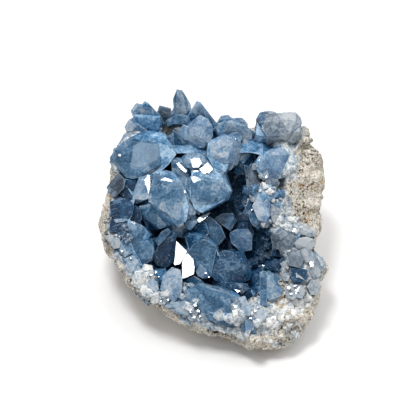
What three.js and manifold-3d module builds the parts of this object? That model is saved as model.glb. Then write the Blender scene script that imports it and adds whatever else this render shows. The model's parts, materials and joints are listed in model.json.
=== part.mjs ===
// A celestite geode: a lump of host rock, broken open, with its hollow lined by one
// crust of pale blue crystals. Millimetres, +Z up, resting on a small flat spot.
import * as THREE from "three";
import { ConvexGeometry } from "three/addons/geometries/ConvexGeometry.js";
import { mergeVertices } from "three/addons/utils/BufferGeometryUtils.js";
import Module from "manifold-3d";

const wasm = await Module();
wasm.setup();

// Driving dimensions, mm
const rimRise = 48; // degrees between the floor and the line of sight into the hollow
const rimLean = 0.268; // fall of the rim towards the back, mm per mm
const restDrop = 35.5; // rim centre above the flat resting spot
const widestBelowRim = 8;
const rockDepth = 37; // from the widest section down to the bottom of the lump
const shoulderHeight = 10; // from the widest section up to the broken rim
const hollowDepth = 28;
const hollowOpen = 60; // how far the hollow's walls run on above the rim
const crustGap = 0.35; // between the rock and the crust that lines it
const rockRoundness = 2.3;
const hollowRoundness = 2.6;
const rockDetail = 9;
const hollowDetail = 6;
const smallCount = 18;
const rimCount = 24;

// The lump seen into its hollow: compass angle in degrees, radius in mm.
const rockOutline = [
  [0, 45.5], [12, 46.3], [22, 47.5], [33, 48.5], [42, 51.5], [50, 49.5], [62, 44], [75, 40],
  [90, 37.5], [108, 39], [122, 44], [131, 50], [139, 49.5], [148, 47.5], [160, 44.8],
  [172, 45], [184, 45.6], [195, 44.4], [207, 43.6], [220, 44], [232, 44.4], [246, 46.8],
  [260, 49], [275, 51], [287, 55.5], [297, 60], [304, 61.4], [311, 59], [318, 56.5],
  [329, 52], [340, 47.6], [347, 44.2], [354, 44.6],
];

// The edge of the hollow, in the same way.
const hollowOutline = [
  [0, 28], [20, 31], [36, 36], [50, 43], [62, 40.5], [75, 37], [90, 35], [110, 36.5], [128, 44],
  [145, 43], [160, 41], [180, 41.5], [197, 39.5], [215, 38], [232, 37.5], [250, 40],
  [270, 41], [287, 41], [302, 38], [315, 36], [330, 36], [345, 31],
];

// Pits broken and weathered out of the rock: place and radius, mm.
const rockPits = [
  [41, 18, 0, 2.6], [44, 6, -6, 2.2], [37, 27, 1, 2.4], [35, 33, 1, 1.9], [45, 12, -12, 2.8],
  [38, 10, 2, 1.8], [43, -24, -4, 2.4], [39, -33, -2, 2.9], [34, -41, -1, 2.2],
  [24, -47, 1, 2.6], [30, -50, -6, 3.1], [13, -49, -1, 2.3], [2, -49, -5, 2.7],
  [-10, -46, -6, 2.6], [-21, -41, -8, 2.9], [-31, -32, -9, 2.6], [-38, -22, -8, 2.3],
  [-43, -8, -8, 2.6], [-45, 4, -10, 2.2], [-43, 17, -8, 2.4], [-37, 30, -10, 2.8],
  [22, 37, -9, 3], [0, 36, -12, 2.6], [-20, 37, -14, 3.1], [41, -4, 0, 2.1],
  [42, -14, -20, 3.3], [-40, -6, -24, 3.4], [8, 30, -26, 3.4], [-24, 26, -26, 3.2],
];

// Seeded random numbers, so that every build gives the same stone.
function seeded(seed) {
  let state = seed;
  return () => {
    state = (state + 0x6d2b79f5) | 0;
    let mixed = Math.imul(state ^ (state >>> 15), 1 | state);
    mixed = (mixed + Math.imul(mixed ^ (mixed >>> 7), 61 | mixed)) ^ mixed;
    return ((mixed ^ (mixed >>> 14)) >>> 0) / 4294967296;
  };
}

// A closed geometry as a solid that can be joined and cut.
function solid(geometry) {
  const bare = geometry.clone();
  bare.deleteAttribute("normal");
  bare.deleteAttribute("uv");
  const merged = mergeVertices(bare, 1e-4);
  return new wasm.Manifold(new wasm.Mesh({
    numProp: 3,
    vertProperties: new Float32Array(merged.attributes.position.array),
    triVerts: new Uint32Array(merged.index.array),
  }));
}

// A solid as a geometry again, with flat faces.
function geometryOf(body) {
  const mesh = body.getMesh();
  const geometry = new THREE.BufferGeometry();
  geometry.setAttribute("position", new THREE.BufferAttribute(mesh.vertProperties, 3));
  geometry.setIndex(new THREE.BufferAttribute(mesh.triVerts, 1));
  geometry.computeVertexNormals();
  return geometry;
}

// The outline's radius at an angle, eased from one listed point to the next.
function radiusAt(outline, angle) {
  const degrees = (THREE.MathUtils.radToDeg(angle) + 360) % 360;
  const last = outline[outline.length - 1];
  let before = [last[0] - 360, last[1]];
  for (const point of [...outline, [outline[0][0] + 360, outline[0][1]]]) {
    if (degrees < point[0]) {
      const share = (degrees - before[0]) / (point[0] - before[0]);
      const eased = share * share * (3 - 2 * share);
      return before[1] + (point[1] - before[1]) * eased;
    }
    before = point;
  }
  return outline[0][1];
}

// Slow swells and sharper lumps over the rock, as a share of the radius.
function lumps(direction) {
  const { x, y, z } = direction;
  const swell = Math.sin(4.1 * x + 2.3 * z) * Math.cos(3.7 * y - 1.9 * z);
  const lump = Math.sin(9.3 * x - 7.1 * y) * Math.sin(8.7 * z + 5.2 * y + 1);
  const knob = Math.sin(19 * x + 11 * y) * Math.sin(17 * y - 21 * z) * Math.sin(15 * z + 13 * x);
  return 0.018 * swell + 0.02 * lump + 0.02 * knob;
}

// How far a rounded body reaches from its centre: it has the outline in plan, one depth
// up and another down.
function reachOf({ outline, up, down, roundness, grow = 0, rough = 0 }, direction) {
  const { x, y, z } = direction;
  const across = Math.hypot(x, y) / radiusAt(outline, Math.atan2(y, x));
  const along = Math.abs(z) / (z > 0 ? up : down);
  const reach = (across ** roundness + along ** roundness) ** (-1 / roundness);
  return reach * (1 + rough * lumps(direction)) + grow;
}

function roundedBody(shape, detail) {
  const geometry = new THREE.IcosahedronGeometry(1, detail);
  const position = geometry.attributes.position;
  const point = new THREE.Vector3();
  for (let i = 0; i < position.count; i += 1) {
    point.fromBufferAttribute(position, i).normalize();
    point.multiplyScalar(reachOf(shape, point)).add(shape.centre);
    position.setXYZ(i, point.x, point.y, point.z);
  }
  return solid(geometry);
}

// Angular knobs and ledges standing on the rock: place and radius, mm.
const rockKnobs = [
  [-14.5, 37.6, -3.5, 4.4], [37, 24, -3, 5.2], [41, 9, -6, 5.4], [34, 12, -3.4, 4.6],
  [31, -38, -4, 6.4], [17, -46, -5, 6], [39, -27, -6, 5.6], [3, -46, -7, 5], [-17, -40, -8, 4.6],
  [-38, -17, -8, 4.6], [-42, 12, -8, 4], [26, -47, -9, 5], [37, 34, -4, 4.6], [40, -8, -5, 4.8],
];

function rockKnob([x, y, z, radius], index, grow) {
  const random = seeded(100 + index);
  const points = [];
  for (let i = 0; i < 14; i += 1) {
    const height = 2 * random() - 1;
    const turn = 2 * Math.PI * random();
    const flat = Math.sqrt(1 - height * height);
    const corner = new THREE.Vector3(flat * Math.cos(turn), flat * Math.sin(turn), height);
    points.push(corner.multiplyScalar(radius + grow).add(new THREE.Vector3(x, y, z)));
  }
  return solid(new ConvexGeometry(points));
}

// A flat crystal face: its outline in plan, its height at the middle and its slopes.
function face(height, [slopeX, slopeY], outline) {
  const middle = middleOf(outline.map(([x, y]) => new THREE.Vector3(x, y, 0)));
  return outline.map(([x, y]) => new THREE.Vector3(
    x, y, height + slopeX * (x - middle.x) + slopeY * (y - middle.y),
  ));
}

function middleOf(points) {
  const middle = new THREE.Vector3();
  points.forEach((point) => middle.add(point));
  return middle.divideScalar(points.length);
}

// A ring of points again, wider by a share, moved aside and sunk.
function spreadRing(ring, share, [shiftX, shiftY], drop) {
  const middle = middleOf(ring);
  const shift = new THREE.Vector3(shiftX, shiftY, -drop);
  return ring.map((point) => point.clone().sub(middle).multiplyScalar(share).add(middle).add(shift));
}

// A crystal: its tip, the flat ring below or in place of a tip, a sloping shoulder round
// the ring if it has one, and a root that is sunk into the crust.
function crystal({ tip = [], ring, shoulder, root = 12, spread = 1.12, shift = [0, 0] }) {
  const points = [...tip.map((corner) => new THREE.Vector3(...corner)), ...ring];
  let foot = ring;
  if (shoulder) {
    foot = spreadRing(ring, shoulder.spread, shoulder.shift, shoulder.drop);
    points.push(...foot);
  }
  points.push(...spreadRing(foot, spread, shift, root));
  return solid(new ConvexGeometry(points));
}

// The big crystals, back row first. Plan places in mm from the middle of the hollow.
const backRow = [
  crystal({
    tip: [[-26.8, 50, 4], [-24.6, 49.2, 3.4]],
    ring: face(-1, [0, 0.3], [[-32, 44.4], [-30.6, 41.2], [-21.6, 39], [-19, 43.4], [-23.6, 47.4]]),
    root: 6,
    shift: [3, -9],
  }),
  crystal({
    ring: face(1, [0, 0.6], [[-30.8, 43.2], [-20, 42.4], [-19.4, 39.6], [-22, 35], [-27.6, 36.4],
      [-31.8, 40]]),
    shoulder: { spread: 1.1, drop: 2, shift: [0, 1.2] },
    root: 8,
    shift: [2, -7],
  }),
  crystal({
    tip: [[-12.4, 52.8, 5]],
    ring: face(-2, [0.15, 0.4], [[-17, 44.6], [-15.2, 41.4], [-10.2, 41], [-7.2, 46], [-11.6, 48]]),
    root: 6,
    shift: [2, -10],
  }),
  crystal({
    tip: [[-5.8, 50, 4.6], [-3.4, 49.5, 4.4]],
    ring: face(-1, [0, 0.5], [[-10.6, 42.4], [-8.4, 35.2], [0.8, 35.4], [4.4, 39.6], [-1, 44.6]]),
    root: 8,
    shift: [0, -8],
  }),
  crystal({
    tip: [[4, 43, 0], [8, 43.8, 1], [12, 42, 0]],
    ring: face(-4, [0, 0.3], [[2, 40], [3, 33], [12, 32.6], [14.6, 38.4]]),
    root: 8,
    shift: [0, -7],
  }),
  crystal({
    ring: face(2.4, [0, 0.7], [[6, 42], [17.4, 35.9], [16.8, 32.6], [8.8, 31.6], [2.8, 34.8],
      [1.6, 38.8]]),
    root: 9,
    shift: [-1, -6],
  }),
  crystal({
    ring: face(4, [-0.05, -0.15], [[17.8, 35.4], [18.6, 42.6], [23, 44.6], [34.6, 43.6], [37, 40],
      [35.8, 36.2], [28, 34.6], [20.4, 34.2]]),
    root: 6.5,
    spread: 0.9,
    shift: [-1.4, -4.4],
  }),
  crystal({
    ring: face(-2, [0, 0.5], [[17.4, 37], [22, 38.6], [30, 37], [32, 32], [26, 27], [17.6, 29]]),
    root: 13,
    spread: 0.9,
    shift: [-3, -7],
  }),
];

const upperLeft = [
  crystal({
    ring: face(4.6, [0.16, 0.22], [[-12, 35], [-8, 40.4], [-4.4, 43], [-0.8, 42], [1.4, 37],
      [-0.2, 31.6], [-4, 29.4]]),
    shoulder: { spread: 1.1, drop: 1.4, shift: [0, 0] },
    root: 12,
  }),
  crystal({
    ring: face(3.8, [0.12, 0.16], [[-30, 32], [-24, 34.6], [-16.8, 33.8], [-12.8, 27], [-16, 22.6],
      [-26.4, 18.4], [-31, 17.6], [-34.6, 23]]),
    shoulder: { spread: 1.2, drop: 4.6, shift: [-2.4, 1.6] },
    root: 10,
    spread: 1,
  }),
  crystal({
    ring: face(-1.6, [-0.15, 0.9], [[-17.4, 34.2], [-14.4, 36.8], [-2.2, 25.6], [-5.6, 23.4],
      [-12, 25], [-16.8, 27.6]]),
    shift: [0, -2],
  }),
  crystal({
    ring: face(5, [-0.12, 0.1], [[-1.4, 31.6], [4.8, 35], [10.4, 34.6], [12, 32.4], [8.8, 26],
      [6.4, 19.6], [2, 21.6], [-1.8, 26]]),
    shoulder: { spread: 1.12, drop: 2, shift: [0.6, 0.4] },
    root: 12,
  }),
  crystal({
    ring: face(-1.4, [-0.3, 0.4], [[10.4, 35.4], [17.6, 35.2], [19.4, 28.8], [16.8, 21.4],
      [12, 22], [9.6, 28.4]]),
    root: 14,
  }),
  crystal({
    ring: face(2.6, [-0.2, 0.12], [[28, 30.4], [32.4, 24.6], [31, 19.6], [24, 15.6], [19, 19.4],
      [17.8, 23], [20.8, 26.8]]),
    shoulder: { spread: 1.15, drop: 2.2, shift: [0, 0.6] },
    root: 8,
    spread: 1,
  }),
  crystal({
    ring: face(-5.4, [-0.5, 0.2], [[13.4, 23.8], [17.2, 21.8], [21.2, 16], [22.4, 10.2],
      [18.4, 11.2], [14, 16.8]]),
    root: 12,
  }),
];

const middle = [
  crystal({
    ring: face(4.8, [0.12, 0.14], [[-24, 18.8], [-20, 20.6], [-13.6, 20.2], [-10, 14.4],
      [-7.6, 6], [-9, -0.4], [-14, -0.8], [-25, 8]]),
    shoulder: { spread: 1.14, drop: 4.4, shift: [-3, 0] },
    root: 11,
    spread: 1.02,
  }),
  crystal({
    ring: face(5.4, [-0.1, 0.16], [[-8, 20], [1.4, 21.4], [4.8, 19.2], [7.8, 12], [6.4, 8.4],
      [-3.4, 3], [-7, 5], [-9, 12]]),
    shoulder: { spread: 1.14, drop: 4, shift: [1, 0.6] },
    root: 11,
    spread: 1.02,
  }),
  crystal({
    tip: [[-7.8, 24.8, 5.4], [-3.2, 24.8, 5.6]],
    ring: face(2, [0, -0.1], [[-11, 24], [-8, 27.2], [-1, 27.6], [3.6, 23], [1, 19], [-9, 19]]),
    root: 10,
  }),
  crystal({
    ring: face(-1.8, [0.1, 0.95], [[-30, 7], [-24, 8], [-20, 4.6], [-13, -0.4], [-13.6, -2.4],
      [-20.8, -4.2], [-24.4, -2.8], [-28.8, 2]]),
    shift: [0, -1],
  }),
  crystal({
    ring: face(-3, [0.3, 0.5], [[-13.4, 4], [-6, 3], [-1, 0], [0.4, -5], [-6, -7], [-11, -4.6],
      [-14.4, -1]]),
    root: 12,
  }),
  crystal({
    ring: face(1, [0.05, 0.15], [[-32.4, 0.8], [-28.8, -1.2], [-25.6, -2], [-23.6, -5.2],
      [-24.8, -7], [-30.8, -7.8], [-37, -4.8], [-35.8, -1.6]]),
    shoulder: { spread: 1.12, drop: 1.6, shift: [0, 0] },
    root: 10,
  }),
  crystal({
    ring: face(-0.2, [0.15, 0.45], [[-31, -7.4], [-25.2, -6.6], [-23, -8.2], [-21.8, -12],
      [-24, -16.2], [-29.6, -17], [-31.8, -12]]),
    root: 11,
  }),
  crystal({
    ring: face(-7, [-0.2, 0.4], [[-23, -7], [-17.4, -5.4], [-14, -9.2], [-15, -16], [-18, -19.4],
      [-22.2, -16]]),
    root: 9,
  }),
  crystal({
    ring: face(-2.6, [0.14, 0.3], [[-10.6, -6.4], [-8.4, -4], [-2, -5.6], [2.8, -9.2],
      [3.4, -13.6], [0.6, -21.4], [-4.4, -20.6], [-7, -14.8]]),
    shoulder: { spread: 1.2, drop: 3.4, shift: [0, 0] },
    root: 9,
    spread: 1.02,
  }),
  crystal({
    ring: face(-2.2, [0.1, 0.05], [[-9.4, -12], [-6.8, -14.8], [-6, -21], [-11, -23],
      [-11.4, -14.8]]),
    root: 8,
  }),
  crystal({
    ring: face(-3, [0.1, 0.05], [[-13.6, -7.4], [-9, -11.8], [-11.6, -15], [-12, -17],
      [-14.6, -17.4]]),
    root: 8,
  }),
];

const lowerRight = [
  crystal({
    ring: face(-7.4, [0.15, 0.2], [[1.4, 1.8], [4.6, 3.6], [9.4, 3.6], [10.8, 0], [8, -3.8]]),
    root: 10,
  }),
  crystal({
    ring: face(-11.4, [0.2, 0.1], [[8, -4], [12, 0.2], [16.2, 0.6], [18.6, -4], [16, -11.6],
      [12.8, -12.6], [8.6, -7.2]]),
    shoulder: { spread: 1.12, drop: 1.6, shift: [0, 0] },
    root: 8,
  }),
  crystal({
    ring: face(-4.8, [-0.1, 0.4], [[3.4, -12.8], [11, -13], [14.6, -17], [14.8, -22],
      [12, -26.6], [7, -25], [2.6, -20]]),
    shoulder: { spread: 1.24, drop: 4, shift: [0, 0] },
    root: 8,
    spread: 1.02,
  }),
  crystal({
    ring: face(-4.4, [0.1, 0.45], [[19.8, -19], [22.6, -19.4], [23.2, -35.4], [20.6, -35.4],
      [19.8, -27]]),
    root: 12,
    shift: [1, -2],
  }),
  crystal({
    ring: face(-5.6, [-0.3, 0.3], [[22.4, -19.6], [29, -21.4], [30.8, -27.2], [27, -31.8],
      [22.8, -31]]),
    root: 10,
  }),
  crystal({
    ring: face(-11, [-0.3, 0.2], [[22.6, -18.4], [27.6, -14], [31, -15.6], [31, -20.4],
      [24, -20.4]]),
    root: 8,
  }),
];

const frontRow = [
  crystal({
    ring: face(2.4, [0.1, -0.16], [[-1.6, -28.6], [4, -26.4], [10.6, -28.6], [13, -31.4],
      [13, -38], [9.6, -40.6], [4, -40.6], [-2, -37.6]]),
    shoulder: { spread: 1.16, drop: 3.6, shift: [0, 0.4] },
    root: 9,
    spread: 1,
  }),
  crystal({
    ring: face(2.8, [0.05, -0.1], [[11.2, -30], [14, -29.4], [16.6, -34.8], [16.2, -37.4],
      [13.2, -36.4], [11.8, -32.4]]),
    root: 9,
  }),
  crystal({
    ring: face(2, [0, -0.2], [[16.6, -32.2], [19.2, -32.4], [22.2, -36], [21.4, -40], [18, -41.4],
      [16, -36.4]]),
    root: 9,
  }),
  crystal({
    ring: face(0.8, [0.2, -0.1], [[-19.8, -27.4], [-14, -25], [-8, -25.4], [-4, -28],
      [-4.6, -33.2], [-8, -37.8], [-15.2, -36.4], [-19.4, -32.4]]),
    root: 9,
  }),
  crystal({
    tip: [[-22, -24, 1.4], [-19.6, -23.4, 1.4]],
    ring: face(-2, [0, 0], [[-26, -26], [-24.6, -19], [-18, -18], [-15, -23], [-18, -29]]),
    root: 9,
  }),
  crystal({
    tip: [[-29, -22, 1.6]],
    ring: face(-1.6, [0.1, 0], [[-33.6, -22], [-29.4, -17], [-24, -20], [-26, -27], [-31, -27]]),
    root: 9,
  }),
  crystal({
    tip: [[-27, -29.6, 1.8]],
    ring: face(-1, [0.1, 0], [[-31, -28], [-27.4, -25], [-21, -28], [-22, -34], [-27, -34.4]]),
    root: 9,
  }),
];

const rightRim = [
  crystal({
    ring: face(3, [-0.05, 0.15], [[19, 14.4], [24, 15.4], [28.4, 9], [27.4, 0], [20.8, -1],
      [17.4, 5.6], [16, 10.8]]),
    shoulder: { spread: 1.12, drop: 2, shift: [0.4, 0] },
    root: 10,
    spread: 1,
  }),
  crystal({
    ring: face(2.6, [0, 0.25], [[24.6, -3.6], [30, -2.2], [36.2, -4], [37.4, -9.2], [32, -12],
      [26, -10.4]]),
    shoulder: { spread: 1.12, drop: 2, shift: [0, 0] },
    root: 9,
    spread: 1,
  }),
  crystal({
    ring: face(0.6, [-0.3, 0], [[34, -11], [40.4, -9.6], [42.8, -16], [40.6, -23], [35, -21.6]]),
    shoulder: { spread: 1.12, drop: 2, shift: [0, 0] },
    root: 9,
    spread: 1,
  }),
  crystal({
    tip: [[31.6, -27, 3], [35, -26.4, 3]],
    ring: face(0, [-0.1, 0], [[29.4, -26], [33, -23.4], [38.4, -25], [39, -30.4], [33.6, -33],
      [29, -30.8]]),
    root: 10,
  }),
  crystal({
    tip: [[28.6, -17, 1]],
    ring: face(-2, [0, 0], [[26.6, -16.6], [31, -14.6], [33, -18], [31, -21.6], [28, -20.6]]),
    root: 9,
  }),
];

// The open middle of the hollow, which the crystals grow towards.
const openSpace = {
  outline: hollowOutline,
  centre: new THREE.Vector3(4, -4, 3),
  up: hollowOpen,
  down: 23,
  roundness: 2.2,
  grow: -4,
};

// A small prism with a chisel tip, standing at a place and pointing along an aim.
function prism(place, aim, length, width, random) {
  const side = new THREE.Vector3(1, 0.4 * random(), 0.2).cross(aim).normalize();
  const across = side.clone().cross(aim);
  const corners = 4 + Math.floor(2 * random());
  const points = [];
  for (let k = 0; k < corners; k += 1) {
    const angle = 2 * Math.PI * (k + 0.3 * random()) / corners;
    const corner = side.clone().multiplyScalar(width * Math.cos(angle));
    corner.addScaledVector(across, 0.8 * width * Math.sin(angle));
    points.push(place.clone().addScaledVector(corner, 1.1).addScaledVector(aim, -5));
    points.push(place.clone().add(corner).addScaledVector(aim, 0.5 * length));
  }
  for (const end of [-1, 1]) {
    const tip = place.clone().addScaledVector(aim, length);
    points.push(tip.addScaledVector(side, end * 0.35 * width));
  }
  return solid(new ConvexGeometry(points));
}

// Smaller crystals between the big ones: each stands on the wall of the open space and
// points to its middle.
function smallCrystals(count, seed) {
  const random = seeded(seed);
  const grown = [];
  for (let i = 0; i < count; i += 1) {
    const turn = 2.4 * i;
    const fall = -0.2 - 0.5 * (i / count);
    const flat = Math.sqrt(1 - fall * fall);
    const outward = new THREE.Vector3(flat * Math.cos(turn), flat * Math.sin(turn), fall);
    const place = outward.clone().multiplyScalar(reachOf(openSpace, outward) + 0.6);
    place.add(openSpace.centre);
    const aim = outward.clone().negate();
    aim.add(new THREE.Vector3(random() - 0.5, random() - 0.5, 0.5 + random())).normalize();
    grown.push(prism(place, aim, 3 + 4.5 * random(), 2 + 1.8 * random(), random));
  }
  return grown;
}

// A row of small crystals along the edge of the hollow.
function rimCrystals(count, seed) {
  const random = seeded(seed);
  const grown = [];
  for (let i = 0; i < count; i += 1) {
    const turn = THREE.MathUtils.degToRad(145 + 195 * (i + 0.7 * random()) / count);
    const out = radiusAt(hollowOutline, turn) - 1 - 3.6 * random();
    const place = new THREE.Vector3(out * Math.cos(turn), out * Math.sin(turn), -2.6);
    const aim = new THREE.Vector3(
      -0.8 * Math.cos(turn) + 0.9 * (random() - 0.5),
      -0.8 * Math.sin(turn) + 0.9 * (random() - 0.5),
      1,
    ).normalize();
    grown.push(prism(place, aim, 2.6 + 3.4 * random(), 1.6 + 1.7 * random(), random));
  }
  return grown;
}

// From plan, height above the rim and line of sight to the stone as it stands.
const sight = THREE.MathUtils.degToRad(rimRise);
const standing = new THREE.Matrix4().set(
  1, 0, 0, 0,
  0, Math.sin(sight) + rimLean * Math.cos(sight), -Math.cos(sight), 0,
  0, Math.cos(sight) - rimLean * Math.sin(sight), Math.sin(sight), restDrop,
  0, 0, 0, 1,
);

const rockShape = {
  outline: rockOutline,
  centre: new THREE.Vector3(0, 0, -widestBelowRim),
  up: shoulderHeight,
  down: rockDepth,
  roundness: rockRoundness,
  rough: 1,
};
const hollowShape = {
  outline: hollowOutline,
  centre: new THREE.Vector3(0, 0, 0),
  up: hollowOpen,
  down: hollowDepth,
  roundness: hollowRoundness,
  rough: 1,
};

// The rock: the lump and its knobs, less its hollow and its pits.
const pits = rockPits.map(([x, y, z, radius], index) => {
  const pit = new THREE.IcosahedronGeometry(radius, 0);
  pit.scale(1, 0.8 + 0.1 * (index % 4), 0.8);
  pit.rotateZ(index);
  pit.translate(x, y, z);
  return solid(pit);
});
const knobs = rockKnobs.map((knob, index) => rockKnob(knob, index, 0));
const rock = roundedBody(rockShape, rockDetail)
  .subtract(roundedBody(hollowShape, hollowDetail))
  .add(wasm.Manifold.union(knobs))
  .subtract(wasm.Manifold.union(pits));

// The crust: its lining and every crystal, kept clear of the rock.
const lining = roundedBody({ ...hollowShape, grow: -crustGap, up: 4 }, hollowDetail);
const crystals = wasm.Manifold.union([
  ...backRow, ...upperLeft, ...middle, ...lowerRight, ...frontRow, ...rightRim,
  ...smallCrystals(smallCount, 7), ...rimCrystals(rimCount, 12),
]);
const grownKnobs = rockKnobs.map((knob, index) => rockKnob(knob, index, crustGap));
const keptClear = roundedBody({ ...rockShape, grow: crustGap }, rockDetail)
  .subtract(roundedBody({ ...hollowShape, grow: -crustGap }, hollowDetail))
  .add(wasm.Manifold.union(grownKnobs));
const crust = lining
  .subtract(roundedBody(openSpace, 3))
  .add(crystals)
  .subtract(keptClear);

// The body as it stands, cut flat where it rests, in its largest part alone.
function stood(body) {
  const geometry = geometryOf(body);
  geometry.applyMatrix4(standing);
  const floor = new THREE.BoxGeometry(300, 300, 100);
  floor.translate(0, 0, -50);
  const parts = solid(geometry).subtract(solid(floor)).decompose();
  parts.sort((first, second) => second.volume() - first.volume());
  return geometryOf(parts[0]);
}

const rindGeometry = stood(rock);
const crustGeometry = stood(crust);

// The origin is under the middle of the whole stone, on the floor.
const box = new THREE.Box3();
for (const geometry of [rindGeometry, crustGeometry]) {
  geometry.computeBoundingBox();
  box.union(geometry.boundingBox);
}
const centre = box.getCenter(new THREE.Vector3());
for (const geometry of [rindGeometry, crustGeometry]) {
  geometry.translate(-centre.x, -centre.y, -box.min.z);
}

const rind = new THREE.Mesh(rindGeometry, new THREE.MeshStandardMaterial({
  color: 0xb9b1a2,
  roughness: 0.9,
  metalness: 0,
}));
rind.name = "rock_rind";

const crustMesh = new THREE.Mesh(crustGeometry, new THREE.MeshStandardMaterial({
  color: 0x5f80a0,
  roughness: 0.15,
  metalness: 0,
}));
crustMesh.name = "crystal_crust";

const geode = new THREE.Group();
geode.add(rind, crustMesh);

export default geode;
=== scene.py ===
import bpy
import json
import math
import random
from mathutils import Matrix, Vector
from mathutils.bvhtree import BVHTree

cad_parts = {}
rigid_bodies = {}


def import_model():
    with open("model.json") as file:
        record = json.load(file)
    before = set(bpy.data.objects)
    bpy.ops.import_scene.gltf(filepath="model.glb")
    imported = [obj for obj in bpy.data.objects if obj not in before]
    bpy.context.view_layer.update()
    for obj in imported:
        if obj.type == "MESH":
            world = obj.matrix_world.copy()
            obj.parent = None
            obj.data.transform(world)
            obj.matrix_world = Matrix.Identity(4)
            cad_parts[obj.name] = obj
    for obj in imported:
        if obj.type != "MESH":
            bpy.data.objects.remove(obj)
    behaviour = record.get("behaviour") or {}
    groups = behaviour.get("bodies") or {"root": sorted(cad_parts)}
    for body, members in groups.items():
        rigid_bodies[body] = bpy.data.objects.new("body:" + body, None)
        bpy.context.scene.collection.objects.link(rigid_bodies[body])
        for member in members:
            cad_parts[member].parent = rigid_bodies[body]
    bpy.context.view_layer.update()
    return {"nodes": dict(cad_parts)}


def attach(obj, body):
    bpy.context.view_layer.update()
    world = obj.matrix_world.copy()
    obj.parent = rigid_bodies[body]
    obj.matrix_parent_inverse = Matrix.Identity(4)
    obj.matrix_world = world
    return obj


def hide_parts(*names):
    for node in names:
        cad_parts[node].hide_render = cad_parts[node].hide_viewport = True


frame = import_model()
mm = 0.001
nodeTrees = {
    name: BVHTree.FromObject(node, bpy.context.evaluated_depsgraph_get())
    for name, node in frame["nodes"].items()
}

# The hollow is looked into along one line of sight, and places on the stone are given as
# seen along it: millimetres to the right, up, and out towards the eye from the leaning rim.
sight = {
    "height": 48,  # degrees above the floor
    "lean": 0.268,  # fall of the rim towards the back, mm per mm
    "rimCentre": (0.198, -3.118, 35.5),  # mm
    "aim": (-0.8, 5.6),  # middle of the view, mm from the rim's centre
    "lens": 150,  # mm
    "sensor": 36,  # mm wide
    "width": 166.4,  # mm across the view at the rim
}
sightAngle = math.radians(sight["height"])
outward = Vector((0, -math.cos(sightAngle), math.sin(sightAngle)))
upward = Vector((0, math.sin(sightAngle), math.cos(sightAngle)))
eyeDistance = sight["width"] * sight["lens"] / sight["sensor"]  # mm from the rim's centre


def seenPoint(x, y, h=0.0):  # to metres on the stone
    forward = h - sight["lean"] * y
    nearer = 1 - forward / eyeDistance  # what is nearer to the eye is drawn larger
    across = (x - sight["aim"][0]) * nearer + sight["aim"][0]
    up = (y - sight["aim"][1]) * nearer + sight["aim"][1]
    return (Vector(sight["rimCentre"]) + Vector((across, 0, 0)) + upward * up + outward * forward) * mm


def seenPlace(point):  # the way back, to where a point of the stone is seen
    moved = point / mm - Vector(sight["rimCentre"])
    forward = moved.dot(outward)
    nearer = 1 - forward / eyeDistance
    x = (moved.x - sight["aim"][0]) / nearer + sight["aim"][0]
    y = (moved.dot(upward) - sight["aim"][1]) / nearer + sight["aim"][1]
    return x, y, forward + sight["lean"] * y


def deselectAll():
    if bpy.context.object and bpy.context.object.mode != "OBJECT":
        bpy.ops.object.mode_set(mode="OBJECT")
    for thing in bpy.context.selected_objects:
        thing.select_set(False)


def pick(piece):
    deselectAll()
    piece.select_set(True)
    bpy.context.view_layer.objects.active = piece


def copyOfNode(nodeName, pieceName):
    node = frame["nodes"][nodeName]
    piece = bpy.data.objects.new(pieceName, node.data.copy())
    piece.data.materials.clear()
    bpy.context.scene.collection.objects.link(piece)
    pick(piece)
    bpy.ops.object.mode_set(mode="EDIT")
    bpy.ops.mesh.select_all(action="SELECT")
    bpy.ops.mesh.remove_doubles(threshold=0.01 * mm)
    bpy.ops.object.mode_set(mode="OBJECT")
    return piece


def copyOf(piece, name):
    other = bpy.data.objects.new(name, piece.data.copy())
    bpy.context.scene.collection.objects.link(other)
    return other


def newCollection(name):
    collection = bpy.data.collections.new(name)
    bpy.context.scene.collection.children.link(collection)
    return collection


def discard(things, collection=None):
    for thing in [*things]:
        bpy.data.objects.remove(thing)
    if collection:
        bpy.data.collections.remove(collection)


def applied(piece, kind, **settings):  # adds a modifier and applies it
    pick(piece)
    modifier = piece.modifiers.new(kind.lower(), kind)
    for name, value in settings.items():
        setattr(modifier, name, value)
    bpy.ops.object.modifier_apply(modifier=modifier.name)


def joined(pieces, name):
    deselectAll()
    for piece in pieces:
        piece.select_set(True)
    bpy.context.view_layer.objects.active = pieces[0]
    bpy.ops.object.join()
    pieces[0].name = name
    return pieces[0]


def triangleCount(piece):
    return sum(len(face.vertices) - 2 for face in piece.data.polygons)


def clamped(value):
    return min(1, max(0, value))


def setValues(piece, name, values):  # a number for each vertex, which materials and sowing read
    if name not in piece.data.attributes:
        piece.data.attributes.new(name, "FLOAT", "POINT")
    piece.data.attributes[name].data.foreach_set("value", values)


def linear(hexColour):  # sRGB hex to the linear colour that the shaders take
    parts = [int(hexColour[i:i + 2], 16) / 255 for i in (1, 3, 5)]
    return [p / 12.92 if p <= 0.04045 else ((p + 0.055) / 1.055) ** 2.4 for p in parts] + [1]


def addNode(tree, kind, inputs=None, output=0, stops=(), **settings):
    # inputs by name or number, values or outputs of other nodes; a ramp's stops: place, sRGB hex
    node = tree.nodes.new(kind)
    for name, value in settings.items():
        setattr(node, name, value)
    for key, value in (inputs or {}).items():
        if isinstance(value, bpy.types.NodeSocket):
            tree.links.new(value, node.inputs[key])
        else:
            node.inputs[key].default_value = value
    if stops:
        points = node.color_ramp.elements
        while len(points) < len(stops):
            points.new(0.5)
        for point, (place, hexColour) in zip(points, stops):
            point.position = place
            point.color = linear(hexColour)
    return node.outputs[output] if node.outputs else None


def newMaterial(name):
    material = bpy.data.materials.new(name)
    material.use_nodes = True
    material.node_tree.nodes.clear()
    return material, material.node_tree


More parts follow.
